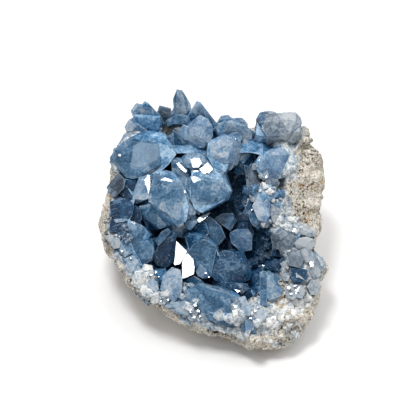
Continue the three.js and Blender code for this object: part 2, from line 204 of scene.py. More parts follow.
def tinted(tree, base, tint, mask, fade, strength=(0, 1), blend="MIX"):
    # a tint over the base, which grows with the mask from one end of fade to the other
    share = addNode(tree, "ShaderNodeMapRange", {
        "Value": mask, "From Min": fade[0], "From Max": fade[1],
        "To Min": strength[0], "To Max": strength[1]})
    return addNode(tree, "ShaderNodeMix", {0: share, 6: base, 7: tint}, output=2,
                   data_type="RGBA", blend_type=blend)


# Rock

rock = {
    "voxel": 0.66,  # mm, the finest lump that the mesh holds
    "rim": 1.5,  # mm round the hollow where the rock is crystalline
    "rimFade": 3.5,
    "nearCrust": 1.0,  # mm from the crust, where the rock is the wall of the hollow
    "foot": 0.4,  # mm over the floor that stay flat
    "intoCrust": 2.2,  # mm that the hollow's wall stands into the crust on it
    "wallTop": -2,  # mm from the rim, where the wall starts to be blue
    "wallFade": 3,
    "recessShade": (-15, 38.5, 6.4, 4.4),  # x, y and the radii of the recess painted dark brown as shade, mm
    "recessShadeLeast": -12,  # mm, the least height that it reaches
    "facing": 3,  # how soon the rim's spar ends where the rock turns from the eye
    "band": 2.6,  # mm, the width of the bare rock along the lower left edge
    "bandFade": 1.2,
    "bandEnd": 20,  # mm, where that band ends to the right and to the top
    "steps": 60,  # all round, in which the reach of the rock is measured
    "hidden": 0.7,  # mm of the outline left to the relief
    "pull": 3,  # how much less the inner parts are drawn to the outline
    "ends": 8,  # how soon that starts at the ends of the outline, per radian
    "middle": (0, -6),  # mm, the middle of the outline as seen
    "outline": [  # where the stone ends as seen, anticlockwise from the upper left: x, y, mm
        (-38.8, 28.8), (-39.2, 24.8), (-40.2, 20.8), (-40.8, 16.8), (-42, 10.8), (-43.4, 6.8),
        (-44.2, 2.8), (-44.8, 0), (-44.2, -3.2), (-43.4, -7.2), (-42.2, -11.2), (-40.8, -14),
        (-38.4, -17.2), (-35.8, -21.2), (-32.8, -25.2), (-29.6, -28.4), (-26.2, -31.2),
        (-23.2, -34), (-19.6, -36.4), (-15.6, -39.2), (-10.4, -42), (-6.8, -43.6), (-2.8, -44.8),
        (0.8, -45.6), (4.8, -46.8), (8.4, -47.6), (12, -49.2), (16, -51.2), (20, -52.4),
        (23.2, -52.8), (26.8, -52.2), (29.6, -51.2), (32.8, -48.8), (36, -46.4), (38.4, -43.2),
        (40.4, -40), (42.6, -36), (44.4, -31.2), (44.8, -27.2), (45, -23.2), (45.2, -18.4),
        (44.4, -16), (43, -13.2), (42.8, -10.4), (43.4, -7.2), (44.7, -3.2), (44.8, 2.8),
        (45.2, 7.6), (45.8, 12), (46.2, 16.8), (46.1, 20.8), (45.6, 26.4), (43.7, 31.2),
        (41.3, 35.6), (38.4, 40.4), (36.4, 43)],
    "relief": [  # kind, width and height of its lumps in mm, and the share that is below
        ("CLOUDS", 8.0, 2.0, 0.5),
        ("CLOUDS", 2.6, 1.5, 0.5),
        ("VORONOI", 2.4, 0.9, 0.35),
    ],
}


def aroundAt(angle, table):  # the value at an angle, between the table's sorted rows
    for (first, low), (second, high) in zip(table, table[1:]):
        if angle <= second:
            return low + (high - low) * (angle - first) / (second - first)
    return table[-1][1]


def fromMiddle(x, y):  # the way and the angle from the middle of the outline
    flat = Vector((x, y)) - Vector(rock["middle"])
    return flat, math.atan2(flat.x, flat.y) % math.tau


def outlineRow(corner):
    flat, angle = fromMiddle(*corner)
    return angle, flat.length


outlineTable = sorted(outlineRow(corner) for corner in rock["outline"])


def barePart(x, y):  # 0 on the bare band of rock along the lower left edge, 1 elsewhere
    flat, angle = fromMiddle(x, y)
    inside = aroundAt(angle, outlineTable) - flat.length
    if max(x, y) > rock["bandEnd"]:
        return 1
    return clamped((inside - rock["band"]) / rock["bandFade"])


def reachOf(piece):  # how far out it comes all round, as seen
    steps, present = rock["steps"], {}
    for vertex in piece.data.vertices:
        flat, angle = fromMiddle(*seenPlace(vertex.co)[:2])
        step = int(angle / math.tau * steps)
        present[step] = max(present.get(step, 0), flat.length)
    return [((step + 0.5) / steps * math.tau, present[step % steps]) for step in range(-1, steps + 1)]


def fitOutline(piece, reach):  # draws a piece in or out so that the stone ends at its outline
    middle = Vector(rock["middle"])
    wanted = [(angle, radius - rock["hidden"]) for angle, radius in outlineTable]
    start, end = wanted[0][0], wanted[-1][0]
    for vertex in piece.data.vertices:
        x, y, h = seenPlace(vertex.co)
        flat, angle = fromMiddle(x, y)
        if start < angle < end:
            now = aroundAt(angle, reach)
            near = min(1, (angle - start) * rock["ends"], (end - angle) * rock["ends"])
            change = (aroundAt(angle, wanted) - now) * (flat.length / now) ** rock["pull"] * near
            place = middle + flat * (1 + change / flat.length)
            vertex.co = seenPoint(place.x, place.y, h)


def groupRock(piece):  # the wall of the hollow and the outside, told apart for the relief
    hollow = piece.vertex_groups.new(name="hollow")
    outside = piece.vertex_groups.new(name="outside")
    for vertex in piece.data.vertices:
        if nodeTrees["crystal_crust"].find_nearest(vertex.co, rock["nearCrust"] * mm)[0]:
            hollow.add([vertex.index], 1.0, "REPLACE")
        elif vertex.co.z > rock["foot"] * mm:
            outside.add([vertex.index], 1.0, "REPLACE")


def reliefOn(piece):
    for number, (kind, size, height, below) in enumerate(rock["relief"]):
        texture = bpy.data.textures.new("relief%d" % number, kind)
        texture.noise_scale = size * mm
        applied(piece, "DISPLACE", texture=texture, texture_coords="LOCAL", strength=height * mm,
                mid_level=below, vertex_group="outside")
    applied(piece, "DISPLACE", strength=rock["intoCrust"] * mm, mid_level=0, vertex_group="hollow")
    for vertex in piece.data.vertices:
        vertex.co.z = max(vertex.co.z, 0)


def markRock(piece):  # where it is blue wall, recess painted dark as shade, and crystalline rim
    walls, recessShades, rims = [], [], []
    inHollow = piece.vertex_groups["hollow"].index
    middleX, middleY, radiusX, radiusY = rock["recessShade"]
    rimReach = rock["rim"] + rock["rimFade"]
    for vertex in piece.data.vertices:
        x, y, h = seenPlace(vertex.co)
        deep = clamped((rock["wallTop"] - h) / rock["wallFade"])
        walls.append(deep if inHollow in [g.group for g in vertex.groups] else 0.0)
        off = math.hypot((x - middleX) / radiusX, (y - middleY) / radiusY)
        # full to 0.8 of its radii and gone at 1.2
        recessShades.append(clamped(3 - 2.5 * off) if h > rock["recessShadeLeast"] else 0)
        found = nodeTrees["crystal_crust"].find_nearest(vertex.co, rimReach * mm)
        away = found[3] / mm if found[0] else rimReach
        facing = clamped(vertex.normal.dot(outward) * rock["facing"])
        inner = facing * clamped(1 - (away - rock["rim"]) / rock["rimFade"])
        rims.append(inner * barePart(x, y))
    for name, values in (("wall", walls), ("recessShade", recessShades), ("rim", rims)):
        setValues(piece, name, values)


def makeRock():
    piece = copyOfNode("rock_rind", "rindStone")
    reach = reachOf(piece)
    applied(piece, "REMESH", mode="VOXEL", voxel_size=rock["voxel"] * mm)
    groupRock(piece)
    fitOutline(piece, reach)
    reliefOn(piece)
    markRock(piece)
    pick(piece)
    bpy.ops.object.shade_smooth()
    print("rock", triangleCount(piece), "triangles")
    return piece, reach


def ironStained(tree, base, coords):  # ochre in patches of 7 mm, where water left its iron
    patches = addNode(tree, "ShaderNodeTexNoise", {
        "Vector": coords, "Scale": 1 / (7 * mm), "Detail": 4, "Roughness": 0.65,
        "Distortion": 0.8})
    return tinted(tree, base, linear("#d3a765"), patches, (0.56, 0.68), blend="MULTIPLY")


def limestone():  # weathered limestone: chalky and matt, with ochre stains and dark vugs
    material, tree = newMaterial("weathered limestone")
    coords = addNode(tree, "ShaderNodeTexCoord", output="Object")
    lumps = []
    for size, detail, rough in (
            (0.8, 6, 0.75),  # crumbs, mm
            (14, 3, 0.5),  # cool grey patches
            (1.2, 3, 0.55),  # vugs
            (10, 3, 0.6),  # the patches that they gather in
            (3, 5, 0.7),  # the ragged edge of the spar
            (1.6, 5, 0.7)):  # grains of spar
        lumps.append(addNode(tree, "ShaderNodeTexNoise", {
            "Vector": coords, "Scale": 1 / (size * mm), "Detail": detail, "Roughness": rough}))
    crumbs, cool, vugs, vugPatches, edge, sparGrains = lumps
    rim, recessShade, wall = [
        addNode(tree, "ShaderNodeAttribute", output="Fac", attribute_name=name)
        for name in ("rim", "recessShade", "wall")]
    vugs, vugPatches = [
        addNode(tree, "ShaderNodeMapRange", {"Value": value, "From Min": low, "From Max": high})
        for value, low, high in ((vugs, 0.44, 0.4), (vugPatches, 0.42, 0.52))]
    vug = addNode(tree, "ShaderNodeMath", {0: vugs, 1: vugPatches}, operation="MULTIPLY")
    edge = addNode(tree, "ShaderNodeMapRange", {
        "Value": edge, "From Min": 0.3, "From Max": 0.7, "To Min": -0.4, "To Max": 0.4})
    ragged = addNode(tree, "ShaderNodeMath", {0: rim, 1: edge}, operation="ADD")
    ragged = addNode(tree, "ShaderNodeMapRange", {
        "Value": ragged, "From Min": 0.35, "From Max": 0.6})
    stone = addNode(tree, "ShaderNodeValToRGB", {"Fac": crumbs}, stops=[
        (0.34, "#5e5140"), (0.43, "#b0a593"), (0.52, "#ddd7ca"), (0.64, "#faf8f1")])
    # the rim of the hollow is milky spar, the recess is painted nearly black as shade,
    # and the wall is blue under its crystals
    spar = addNode(tree, "ShaderNodeValToRGB", {"Fac": sparGrains}, stops=[
        (0.34, "#3f6380"), (0.44, "#93a6b5"), (0.54, "#ccd1d2"), (0.64, "#fbfaf6")])
    dark = addNode(tree, "ShaderNodeValToRGB", {"Fac": crumbs}, stops=[
        (0.4, "#050505"), (0.6, "#14100d"), (0.72, "#4d4030")])
    blue = addNode(tree, "ShaderNodeValToRGB", {"Fac": crumbs}, stops=[
        (0.3, "#0e3f68"), (0.5, "#25608f"), (0.7, "#7ba6cc")])
    stone = tinted(tree, stone, linear("#c9ccd0"), cool, (0.45, 0.6), blend="MULTIPLY")
    stone = ironStained(tree, stone, coords)
    for share, colour in ((vug, linear("#43331f")), (ragged, spar), (recessShade, dark), (wall, blue)):
        stone = addNode(tree, "ShaderNodeMix", {0: share, 6: stone, 7: colour}, output=2,
                        data_type="RGBA")
    height = addNode(tree, "ShaderNodeMath", {0: crumbs, 1: vug}, operation="SUBTRACT")
    bump = addNode(tree, "ShaderNodeBump", {
        "Height": height, "Strength": 0.8, "Distance": 0.5 * mm})
    rough = addNode(tree, "ShaderNodeMapRange", {  # the spar shines a little
        "Value": ragged, "From Min": 0, "From Max": 1, "To Min": 0.85, "To Max": 0.3})
    shader = addNode(tree, "ShaderNodeBsdfPrincipled", {
        "Base Color": stone, "Normal": bump, "Roughness": rough})
    addNode(tree, "ShaderNodeOutputMaterial", {"Surface": shader})
    return material


# Grains of the weathered rind: crumbs like coarse sugar

grains = {
    "kinds": 6,
    "shapes": 21,  # seed of their shapes
    "seed": 31,  # of their places
    "cube": 0.8,  # the crumb before it is broken, of its size
    "thick": (0.5, 0.8),  # of that
    "flat": (0.4, 0.7),
    "density": 3.0,  # for each square mm, at most
    "apart": 0.62,  # mm
    "sizes": (0.45, 1.05),  # mm
    "tilt": 0.6,  # radians, how far each leans at most
    "keepOff": 0.8,  # mm from the crystals
    "overFloor": 1.5,  # mm
    "seenShare": 0.9,  # of the density, on the side that faces the eye
    "farShare": 0.3,
    "rimLess": 0.8,  # of them that the crystalline rim takes away
}


def markGrains(bed, crystals):
    tree = meshTree(crystals)
    recessShades = bed.data.attributes["recessShade"].data
    rims = bed.data.attributes["rim"].data
    marks = []
    for vertex in bed.data.vertices:
        free = tree.find_nearest(vertex.co, grains["keepOff"] * mm)[0] is None
        share = grains["seenShare"] if vertex.normal.dot(outward) > 0 else grains["farShare"]
        if not free or vertex.co.z <= grains["overFloor"] * mm:
            share = 0
        share *= 1 - recessShades[vertex.index].value
        share *= 1 - grains["rimLess"] * rims[vertex.index].value
        marks.append((share, mm, 0.5))
    markPoints(bed, marks)


def grainTemplates():  # crumbs with two broken corners
    dice = random.Random(grains["shapes"])
    templates = newCollection("grain")
    for number in range(grains["kinds"]):
        bpy.ops.mesh.primitive_cube_add(size=grains["cube"], scale=(
            1, dice.uniform(*grains["thick"]), dice.uniform(*grains["flat"])))
        bpy.ops.object.transform_apply(location=False, rotation=False, scale=True)
        grain = bpy.context.object
        grain.name = "grain%d" % number
        bpy.ops.object.mode_set(mode="EDIT")
        for side in (-1, 1):
            cutOff((side * 0.2, 0, 0), (side, dice.uniform(0.4, 1.2), dice.uniform(0.4, 1.2)))
        bpy.ops.object.mode_set(mode="OBJECT")
        templates.objects.link(grain)
        bpy.context.scene.collection.objects.unlink(grain)
    return templates


def makeGrains(stone, crystals):
    bed = copyOf(stone, "bed")
    markGrains(bed, crystals)
    templates = grainTemplates()
    piece = sown(bed, templates, "rindGrains", grains)
    discard([bed, *templates.objects], templates)
    return piece


def grainMaterial():  # limestone crumbs: each is chalky white, grey or honey
    material, tree = newMaterial("chalky grains")
    coords = addNode(tree, "ShaderNodeTexCoord", output="Object")
    tone = addNode(tree, "ShaderNodeAttribute", output="Fac", attribute_name="tone")
    tone = addNode(tree, "ShaderNodeMapRange", {"Value": tone, "From Min": 0.33, "From Max": 0.67})
    colour = addNode(tree, "ShaderNodeValToRGB", {"Fac": tone}, stops=[
        (0.0, "#7d6f58"), (0.12, "#b7ad9b"), (0.3, "#cfc8ba"), (0.65, "#dfdad0"), (1.0, "#f8f6f0")])
    colour = ironStained(tree, colour, coords)
    shader = addNode(tree, "ShaderNodeBsdfPrincipled", {"Base Color": colour, "Roughness": 0.6})
    addNode(tree, "ShaderNodeOutputMaterial", {"Surface": shader})
    return material


# Crystals. Each is laid by the height and slopes of its face, its tone from deep to pale, and
# its corners as seen: x, y and their own rise. Its root is that far down, spread times as wide
# and shifted to the side. All in mm.

# The tones were set to how light or dark each crystal looks, so they are partly its own colour and
# partly painted light and shade.
crystalRows = []


def lay(name, height, slopes, tone, corners, root=10, spread=1, shift=(0, 0), finish="clear"):
    crystalRows.append((name, height, slopes, tone, corners, root, spread, shift, finish))


# Back row
lay("rearLeftCap", 0, (0, 0.3), 0.75, [(-31.8, 44.6, -2), (-30.4, 46.4, -1.5), (-27.1, 50.8, 3.6),
    (-24.7, 49.6, 3), (-22.8, 46.8), (-21, 44, -0.6), (-24, 43, 0.6), (-27.6, 42.8, 0.8),
    (-30.8, 43.2, -0.6)], root=6, shift=(3, -9))
lay("rearLeftFront", 1, (0, 0.6), 0.6, [(-31.6, 42.8, -1.5), (-28.4, 43.4, 0.3),
    (-23.2, 43.6, 0.6), (-19.2, 43.3, -0.4), (-19.4, 39.2, -0.4), (-22.4, 35), (-25.6, 36.2),
    (-30.6, 38, -0.4), (-32.8, 40, -3)], root=8, spread=1.05, shift=(2, -7), finish="milky")
lay("rearLeftSide", -1.5, (0.3, 0.5), 0.9, [(-33, 42), (-31.2, 42.4, 1), (-30, 39.2, 0.8),
    (-30.8, 36.4), (-33.6, 36.2, -0.5), (-34.4, 38.4, -1)], root=7, spread=1.05, shift=(2, -5),
    finish="milky")
lay("rearGrey", -5, (0, 0.4), 0.3, [(-22.8, 47, 1.5), (-20, 47.1, 1.2), (-16.4, 48.4, 1.8),
    (-15.6, 46), (-18, 43.2), (-21.2, 44)], root=5, shift=(1, -7), finish="smoky")
lay("rearPeak", -2, (0.1, 0.4), 0.5, [(-13.2, 53.4, 5.4), (-11.2, 52.9, 5.2), (-9.4, 50, 3.4),
    (-7.8, 47.3, 0.4), (-8.2, 45.4, 0.6), (-11.6, 41.6, 0.8), (-14.2, 42, 1.2),
    (-16.2, 43.4, -0.4), (-16.5, 45.2, -1), (-14.8, 49.2, 1.4), (-12.4, 49.2, 4.3)], root=6,
    shift=(2, -10))
lay("rearBluntPeak", -1, (0, 0.45), 0.75, [(-5.5, 49.8, 4.6), (-3.3, 49.6, 4.6), (-2, 47.6, 3.4),
    (2.4, 41.8, -0.5), (2.6, 39.2, -1), (-0.8, 36.8), (-5.6, 40.4, 1.4), (-8.2, 40.4),
    (-9.2, 43.6, -0.6), (-7.8, 46.2, 0.4), (-6.4, 47.4, 2.6)], root=8, shift=(0, -8))
lay("rearPaleLeft", -4, (0, 0.3), 0.6, [(1.8, 42.6, 0.5), (3.2, 43.8, 1.4), (5.4, 44.1, 1.6),
    (8, 42.9, 0.6), (9.6, 41.4, -0.5), (8.8, 37.6), (2.8, 37.6, -0.5)], root=8, shift=(0, -7),
    finish="milky")
lay("rearPaleRight", -4.6, (0, 0.3), 0.55, [(9.2, 41.4, 0.6), (10.8, 42.2, 1.2), (12.8, 41.9, 1),
    (15.2, 39.2, -0.4), (14.8, 36.8), (9.6, 37.2)], root=8, shift=(0, -6), finish="milky")
lay("rearWedge", 2.2, (0, 0.62), 0.8, [(2.8, 39.8, -1.6), (6.2, 41.9, 0.8), (10.4, 40.2, 1.4),
    (14.2, 38.6, 1), (17.6, 36.2, -0.8), (16.8, 34.8, 0.6), (9.6, 38.2, 2), (16.8, 32.2),
    (12, 31.4), (3.2, 34.8, -0.6)], root=9, shift=(-1, -6))
lay("slab", 4.2, (-0.05, -0.15), 0.62, [(18.2, 41.4, -1), (19.8, 43.9, -1.4), (22.4, 44.8, -1.6),
    (26.8, 44.2, -0.8), (31.2, 44, -1.4), (34.4, 43.9, -1.8), (36.8, 41.2, -1.6), (37.2, 39, -1.2),
    (35.8, 37, -0.6), (32, 35.2), (26.8, 35, 0.2), (22, 34.4, 0.2), (18.2, 35.2, -0.2),
    (21, 39.8, 0.9), (28.4, 41, 1.2), (34.4, 40.6, 0.6)], root=6.5, spread=0.9, shift=(-1.4, -4.4),
    finish="smoky")
# the recess under the slab: crystals of the lowest tones, painted shade
lay("recessLeft", -2.4, (0, 0.5), 0.05, [(17.6, 34.6), (20.8, 34), (26.4, 34.8), (25.6, 30.8),
    (23.2, 29.8), (19.2, 28.6), (17.6, 30.8)], root=12, spread=0.9, shift=(-2, -6), finish="smoky")
lay("recessRight", -1.8, (-0.2, 0.4), 0, [(26.4, 34.8), (30.8, 35.4), (33.8, 34), (34.6, 32),
    (32, 29.2), (28.4, 30.4), (25.6, 30.8)], root=12, spread=0.9, shift=(-3, -6), finish="smoky")
lay("recessChip", 0.2, (-0.3, 0.1), 0.9, [(30.6, 34.2), (32.8, 35), (33.8, 33.6), (32, 32.2),
    (30.8, 32.7)], root=6, spread=0.9, shift=(-1, -2), finish="smoky")
# Upper left
lay("milkyHex", 4.6, (0.16, 0.22), 0.42, [(-6.8, 40.8, -0.6), (-4, 42.9, -0.6), (-0.8, 41.2, -0.8),
    (1, 38.2, -1.4), (1.2, 34.4, -1.2), (-0.4, 31.2, -0.8), (-2.6, 29.5, -0.4), (-4.8, 30.8),
    (-8.8, 32.6), (-12.5, 35.4, -0.6), (-9.6, 38.2, -0.4), (-5.2, 39.6, 1), (-1.4, 37.8, 0.8),
    (-2.4, 32.8, 1), (-6.2, 34.8, 1.1)], root=12, spread=1.06, finish="milky")
lay("greatTop", 4.1, (0.1, 0.14), 0.24, [(-36.4, 25.6, 0.4), (-34, 29.4, 0.6), (-29.6, 33.8, 0.4),
    (-25.2, 35, -0.2), (-22.2, 34.5, 0.3), (-16, 30, 0.3), (-13.8, 26.4, -0.6), (-18.8, 24.2),
    (-25.6, 20.6, 0.2), (-28, 18.1), (-30.6, 17.2, -0.4), (-33.6, 17.8, -0.8), (-36.5, 21.2, -0.8),
    (-38.4, 24.2, -1.6), (-39.2, 26, -3.6), (-38.7, 28.6, -4), (-36.4, 30.6, -3.4),
    (-32, 33.9, -2), (-16.6, 34.1, -2.2), (-12.9, 26.8, -2.6)], spread=1.02)
lay("greatTopStep", 4.9, (0.12, 0.16), 0.27, [(-30.8, 30), (-25.6, 33), (-21.6, 31.8),
    (-18.8, 28.4), (-20.8, 24.8), (-27.6, 21.4), (-32.4, 22), (-34, 26)], root=5)
lay("darkWedge", -1.6, (-0.15, 0.9), 0.1, [(-14.8, 37, 0.6), (-11.6, 34.4, 0.4), (-8, 31.6),
    (-3.2, 28.2), (-2.2, 25.2), (-5.6, 25.6), (-11.6, 26.6), (-12.8, 27), (-15.4, 30, -0.4),
    (-16, 33.8, -0.6), (-9.6, 29.8, 1.2)], spread=1.05, shift=(0, -2))
lay("greyShard", -0.4, (0.2, 0.3), 0.6, [(-14.6, 37.5), (-12.8, 38.1), (-10.8, 37), (-11.8, 35.4),
    (-13, 35.6)], root=8, shift=(0, -2), finish="smoky")
lay("shadeLeft", -3.2, (0.2, 0.5), 0.05, [(-22, 35), (-18.8, 37.8), (-17.2, 37.2), (-17, 34.4)],
    root=8, shift=(0, -2))
lay("milkyPale", 5, (-0.1, 0.12), 0.5, [(-2, 27.8, -1), (1.7, 32.2, -0.4), (4.8, 34.2, -0.6),
    (7.6, 35.1, -0.8), (10.4, 34.4, -0.8), (12.4, 31.6, -1.6), (12.6, 28, -2), (10.8, 22.8, -2),
    (8, 20.8, -1.6), (3.2, 22.2, -1.2), (-0.4, 24.8, -1.4), (2.2, 31.4, 0.6), (7.6, 33.4, 0.5),
    (9.4, 32.4, 0.4), (7.2, 25.8, 0.5), (3.8, 26, 0.7)], root=12, spread=1.06, shift=(0.6, 0.4),
    finish="milky")
lay("backBlue", -1.2, (-0.3, 0.4), 0.6, [(12, 34.2, 0.4), (16.8, 33, 0.2), (18.6, 29.2, -0.2),
    (17.2, 27.6, -0.4), (14.4, 25.8), (12.4, 22.2), (11, 25.6, 0.4), (11.8, 30.4, 0.6)], root=14,
    spread=1.05, shift=(0, -2))
lay("backBlueLow", -4.4, (-0.3, 0.4), 0.2, [(11.2, 23.6), (14.4, 26), (17.4, 27.4), (16.4, 23.6),
    (14, 20), (11.2, 18.4), (9.2, 20)], root=12, spread=1.05)
lay("rightClear", 2.8, (-0.2, 0.12), 0.48, [(18, 23, -1.4), (20.8, 25.9, -1), (24, 28.4, -0.8),
    (27.6, 30.2, -1), (29.8, 29.5, -1.2), (32.2, 26.8, -1.6), (32.6, 23.6, -1.6), (31.6, 20, -1.4),
    (29.2, 17.8, -1.2), (26.2, 17.4, -0.8), (24.2, 15.8, -1.4), (22.4, 16.7, -1.2),
    (21.2, 19.8, -0.2), (22.2, 24.4, 0.6), (25.6, 27.2, 0.8), (29.2, 26.6, 0.5), (30.2, 23.2, 0.4),
    (27.6, 19.8, 0.5), (24, 20.4, 0.7)], root=9, spread=1.02, shift=(0, 0.6), finish="milky")
lay("rightClearEdge", 2.2, (0.5, 0.1), 0.95, [(18.2, 23), (21, 25.8), (21.8, 24.6), (21, 22.2),
    (21.9, 18.8), (24.2, 16), (22.4, 16.6), (20, 20)], root=6, shift=(0.6, 0.4), finish="milky")
lay("flatGrey", -0.8, (-0.35, 0.15), 0.5, [(14.2, 20.6), (16.8, 23.5), (18.1, 22.8), (20, 20),
    (22.2, 16.4), (20.8, 13.4), (18.6, 11.6), (16.6, 9.8), (14.8, 12.6), (14.4, 16.8)], root=12,
    spread=1.05, finish="smoky")
lay("roundGreyA", 2.4, (-0.2, 0.2), 0.5, [(22, 16.6, -0.6), (24.4, 17.4), (26.8, 17.3, -0.3),
    (28, 15.6, -0.8), (27, 13.6, -0.8), (24.4, 12.8, -0.6), (22.4, 13.8, -0.8), (24.6, 15.4, 0.8)],
    root=7, finish="smoky")
lay("paleBlockA", 2.2, (-0.2, 0.15), 0.35, [(18.6, 11, -0.6), (21, 13.5), (23.4, 13.4),
    (24.4, 11.4, -0.4), (22.6, 9, -0.6), (19.8, 8.6, -0.8)], root=8, spread=1.05, finish="milky")
lay("topClusterSide", 3, (0.2, 0.3), 0.45, [(-15.6, 26), (-12, 25.6), (-8.8, 20.8), (-9.2, 17.6),
    (-12, 16.4), (-15.2, 18.8)], root=9, spread=1.05)
lay("betweenGreat", 3.2, (0, 0.25), 0.35, [(-13.6, 17.6), (-9.2, 18.4), (-4.4, 5.6), (-7.2, 2.4),
    (-12, 8)], root=9, spread=1.05)
# Middle
lay("greatLeft", 4.9, (0.12, 0.14), 0.5, [(-24, 19), (-20, 20, -0.3), (-14.4, 19.7, -0.3),
    (-11.8, 16.8, -0.4), (-11.6, 14.4, -0.6), (-9.2, 10.4, -0.4), (-6.6, 6.4, -0.6),
    (-6.2, 3.6, -0.8), (-8, 1.5, -0.6), (-10.8, -0.2, -0.4), (-12.8, 0.8), (-16.4, 3.5),
    (-21.2, 5.6), (-24.6, 8.2, 0.2), (-23.8, 14, 0.5), (-20, 16.8, 0.9), (-15.2, 16, 0.9),
    (-12, 10.4, 0.8), (-11.2, 4.8, 0.7), (-16, 6.8, 0.9), (-20.4, 9.6, 0.9)], root=11, spread=1.04,
    shift=(-1, 0))
lay("greatLeftSide", 3.4, (0.42, 0.1), 0.62, [(-28.4, 17.8), (-25, 19), (-23.8, 14), (-24.6, 8.4),
    (-29.4, 7.1), (-31.2, 8.6), (-30.3, 12.8)], root=9, spread=1.06, shift=(-1, 0), finish="milky")
lay("greatLeftGlint", 4.9, (0.12, -0.13), 1, [(-26.2, 16.8), (-25, 18.8), (-24, 18.6),
    (-23.9, 14.2), (-24.6, 11.4)], root=6, finish="mirror")
lay("greatRight", 5.3, (-0.1, 0.18), 0.42, [(-11.4, 15.6, -0.4), (-8.8, 17.8, -0.2), (-5.2, 18.8),
    (-0.8, 20.2, -0.2), (4, 19.8, -0.8), (5.8, 16, -0.6), (7.6, 11.4, -0.8), (6, 9.6, -0.4),
    (1.2, 7), (-3.6, 3.8, -0.4), (-5.8, 6, -0.4), (-9, 10.2, -0.4), (-7.6, 15.2, 0.7),
    (-1.6, 17.6, 0.8), (3.6, 15.2, 0.5), (2, 10, 0.6), (-3.2, 7.6, 0.6)], root=11, spread=1.04,
    shift=(1, 0.6))
lay("topCluster", 4.9, (0, 0.2), 0.4, [(-12.8, 24.8, -1.2), (-9.2, 27.6, -1), (-5.2, 27.8, -0.8),
    (-1.2, 26, -0.8), (1.8, 21.6, -1), (-0.4, 19.2, -0.4), (-8.8, 18, -0.4), (-12.4, 20.8, -1),
    (-8, 23.6, 0.6), (-2.8, 22.8, 0.6)], spread=1.04)
lay("topGlintA", 6.1, (0.08, -0.13), 1, [(-7.9, 24.9), (-6.4, 25.5), (-4.2, 25.4), (-3.2, 23.4),
    (-4.6, 21.9), (-6.9, 21.8)], root=4, spread=1.1, finish="mirror")
lay("topGlintB", 6, (0.12, -0.16), 1, [(-1, 23.8), (1.3, 21.1), (-0.4, 19.6), (-2.8, 19.4),
    (-4.3, 21), (-2.6, 21.6)], root=4, spread=1.1, finish="mirror")
lay("topGlintC", 5.6, (0.1, -0.14), 1, [(-7, 20.6), (-5, 20.7), (-4.2, 19.5), (-5.6, 18.6),
    (-6.8, 19.2)], root=4, spread=1.1, finish="mirror")
lay("topGlintD", 4.4, (0.16, -0.1), 0.9, [(-13.4, 23.4), (-12.4, 23.8), (-9.2, 20.4), (-9.8, 19.7),
    (-11.8, 21.2)], root=4, spread=1.1, finish="mirror")
lay("edgeGlint", 5.2, (0.1, -0.12), 1, [(-12.4, 14.7), (-11.6, 14.9), (-9.6, 12.2), (-9.8, 11.3),
    (-11, 12.8)], root=4, finish="mirror")
lay("underLeftDark", -2.4, (0.1, 0.95), 0.15, [(-29.4, 7), (-25.2, 8), (-21.2, 5.4), (-16.8, 3.4),
    (-17.6, 1.2), (-23.2, 2.4), (-26.4, 3), (-29, 5.8)], root=9, spread=1.05, shift=(0, -1))
lay("underLeftBlock", -1.6, (0.12, 0.5), 0.35, [(-25.8, 2.2, -0.2), (-24, 5), (-20.8, 4.6, 0.4),
    (-17.6, 3.2), (-15.4, 1, -0.4), (-16.6, -1.8, -0.4), (-21.2, -3, -0.2), (-23.8, -0.8, -0.2)],
    spread=1.04, shift=(0, -1))
lay("underMiddle", -3, (0.3, 0.5), 0.2, [(-16.8, 0.4), (-13.6, 1), (-10.4, -0.6), (-8, -3.2),
    (-10.8, -6.4), (-14.4, -5.6), (-16.8, -2.4)], root=12, spread=1.05)
lay("tipBlock", -0.6, (0.1, 0.3), 0.35, [(-10.4, -1), (-8, 1.4), (-5.8, 3), (-4.6, 0.6),
    (-7.8, -3.4), (-9.6, -2.4)], spread=1.05)
lay("tipGlint", 0.2, (0.12, -0.13), 1, [(-5.1, 0.6), (-4.3, 2), (0.2, 4), (-1.4, 1.8),
    (-4.2, -0.2)], root=5, finish="mirror")
lay("leftBlock", 1.2, (0.05, 0.15), 0.45, [(-35.4, -3, -0.6), (-32.8, 1, -0.4), (-29.2, -0.4),
    (-26.6, -2), (-23.4, -4.8, -0.3), (-24.6, -6.8, -0.3), (-30.8, -7.4, -0.2),
    (-35.2, -5.6, -0.8), (-31.6, -1.8, 0.6), (-27.6, -3.6, 0.6)], spread=1.06)
lay("leftBlockLow", 0.4, (0.12, 0.35), 0.25, [(-30.8, -7.6), (-27.6, -7), (-23.2, -6.6),
    (-22.2, -10.4), (-23.4, -15.2), (-26.4, -17.4), (-29.4, -16), (-31.2, -12.4)], root=11,
    spread=1.05)
lay("leftLowDark", -5.4, (-0.2, 0.4), 0.3, [(-23.2, -14.6), (-20.8, -9.6), (-18.8, -7.2),
    (-15.2, -5.4), (-13.8, -8.4), (-14.4, -16), (-17.6, -18.4), (-22.4, -16.8)], spread=1.05,
    finish="deep")
lay("leftShard", -1.4, (-0.1, 0.3), 0.25, [(-21.8, -7.6), (-19.6, -4), (-16.6, -2.2), (-15.6, -4),
    (-18.6, -7.4), (-20.8, -9.6)], root=9)
lay("mirrorLeft", -1.2, (0.1, -0.12), 0.9, [(-13.5, -7.6), (-9.2, -11.8), (-11.9, -14.4),
    (-12, -16.8), (-14.4, -17.2)], root=8, spread=1.03, finish="mirror")
lay("mirrorRight", -1, (0.1, -0.12), 0.9, [(-9.1, -12.4), (-6.8, -14.8), (-6.2, -18),
    (-6.4, -20.8), (-11.2, -22.8), (-11.1, -14.6)], root=8, spread=1.03, finish="mirror")
lay("mirrorFoot", -3.4, (0, 0.6), 0.2, [(-11.6, -23.6), (-6.4, -21.4), (-2.8, -23.6),
    (-1.6, -25.6), (-7.2, -27), (-10.4, -26)], root=9, spread=1.05)
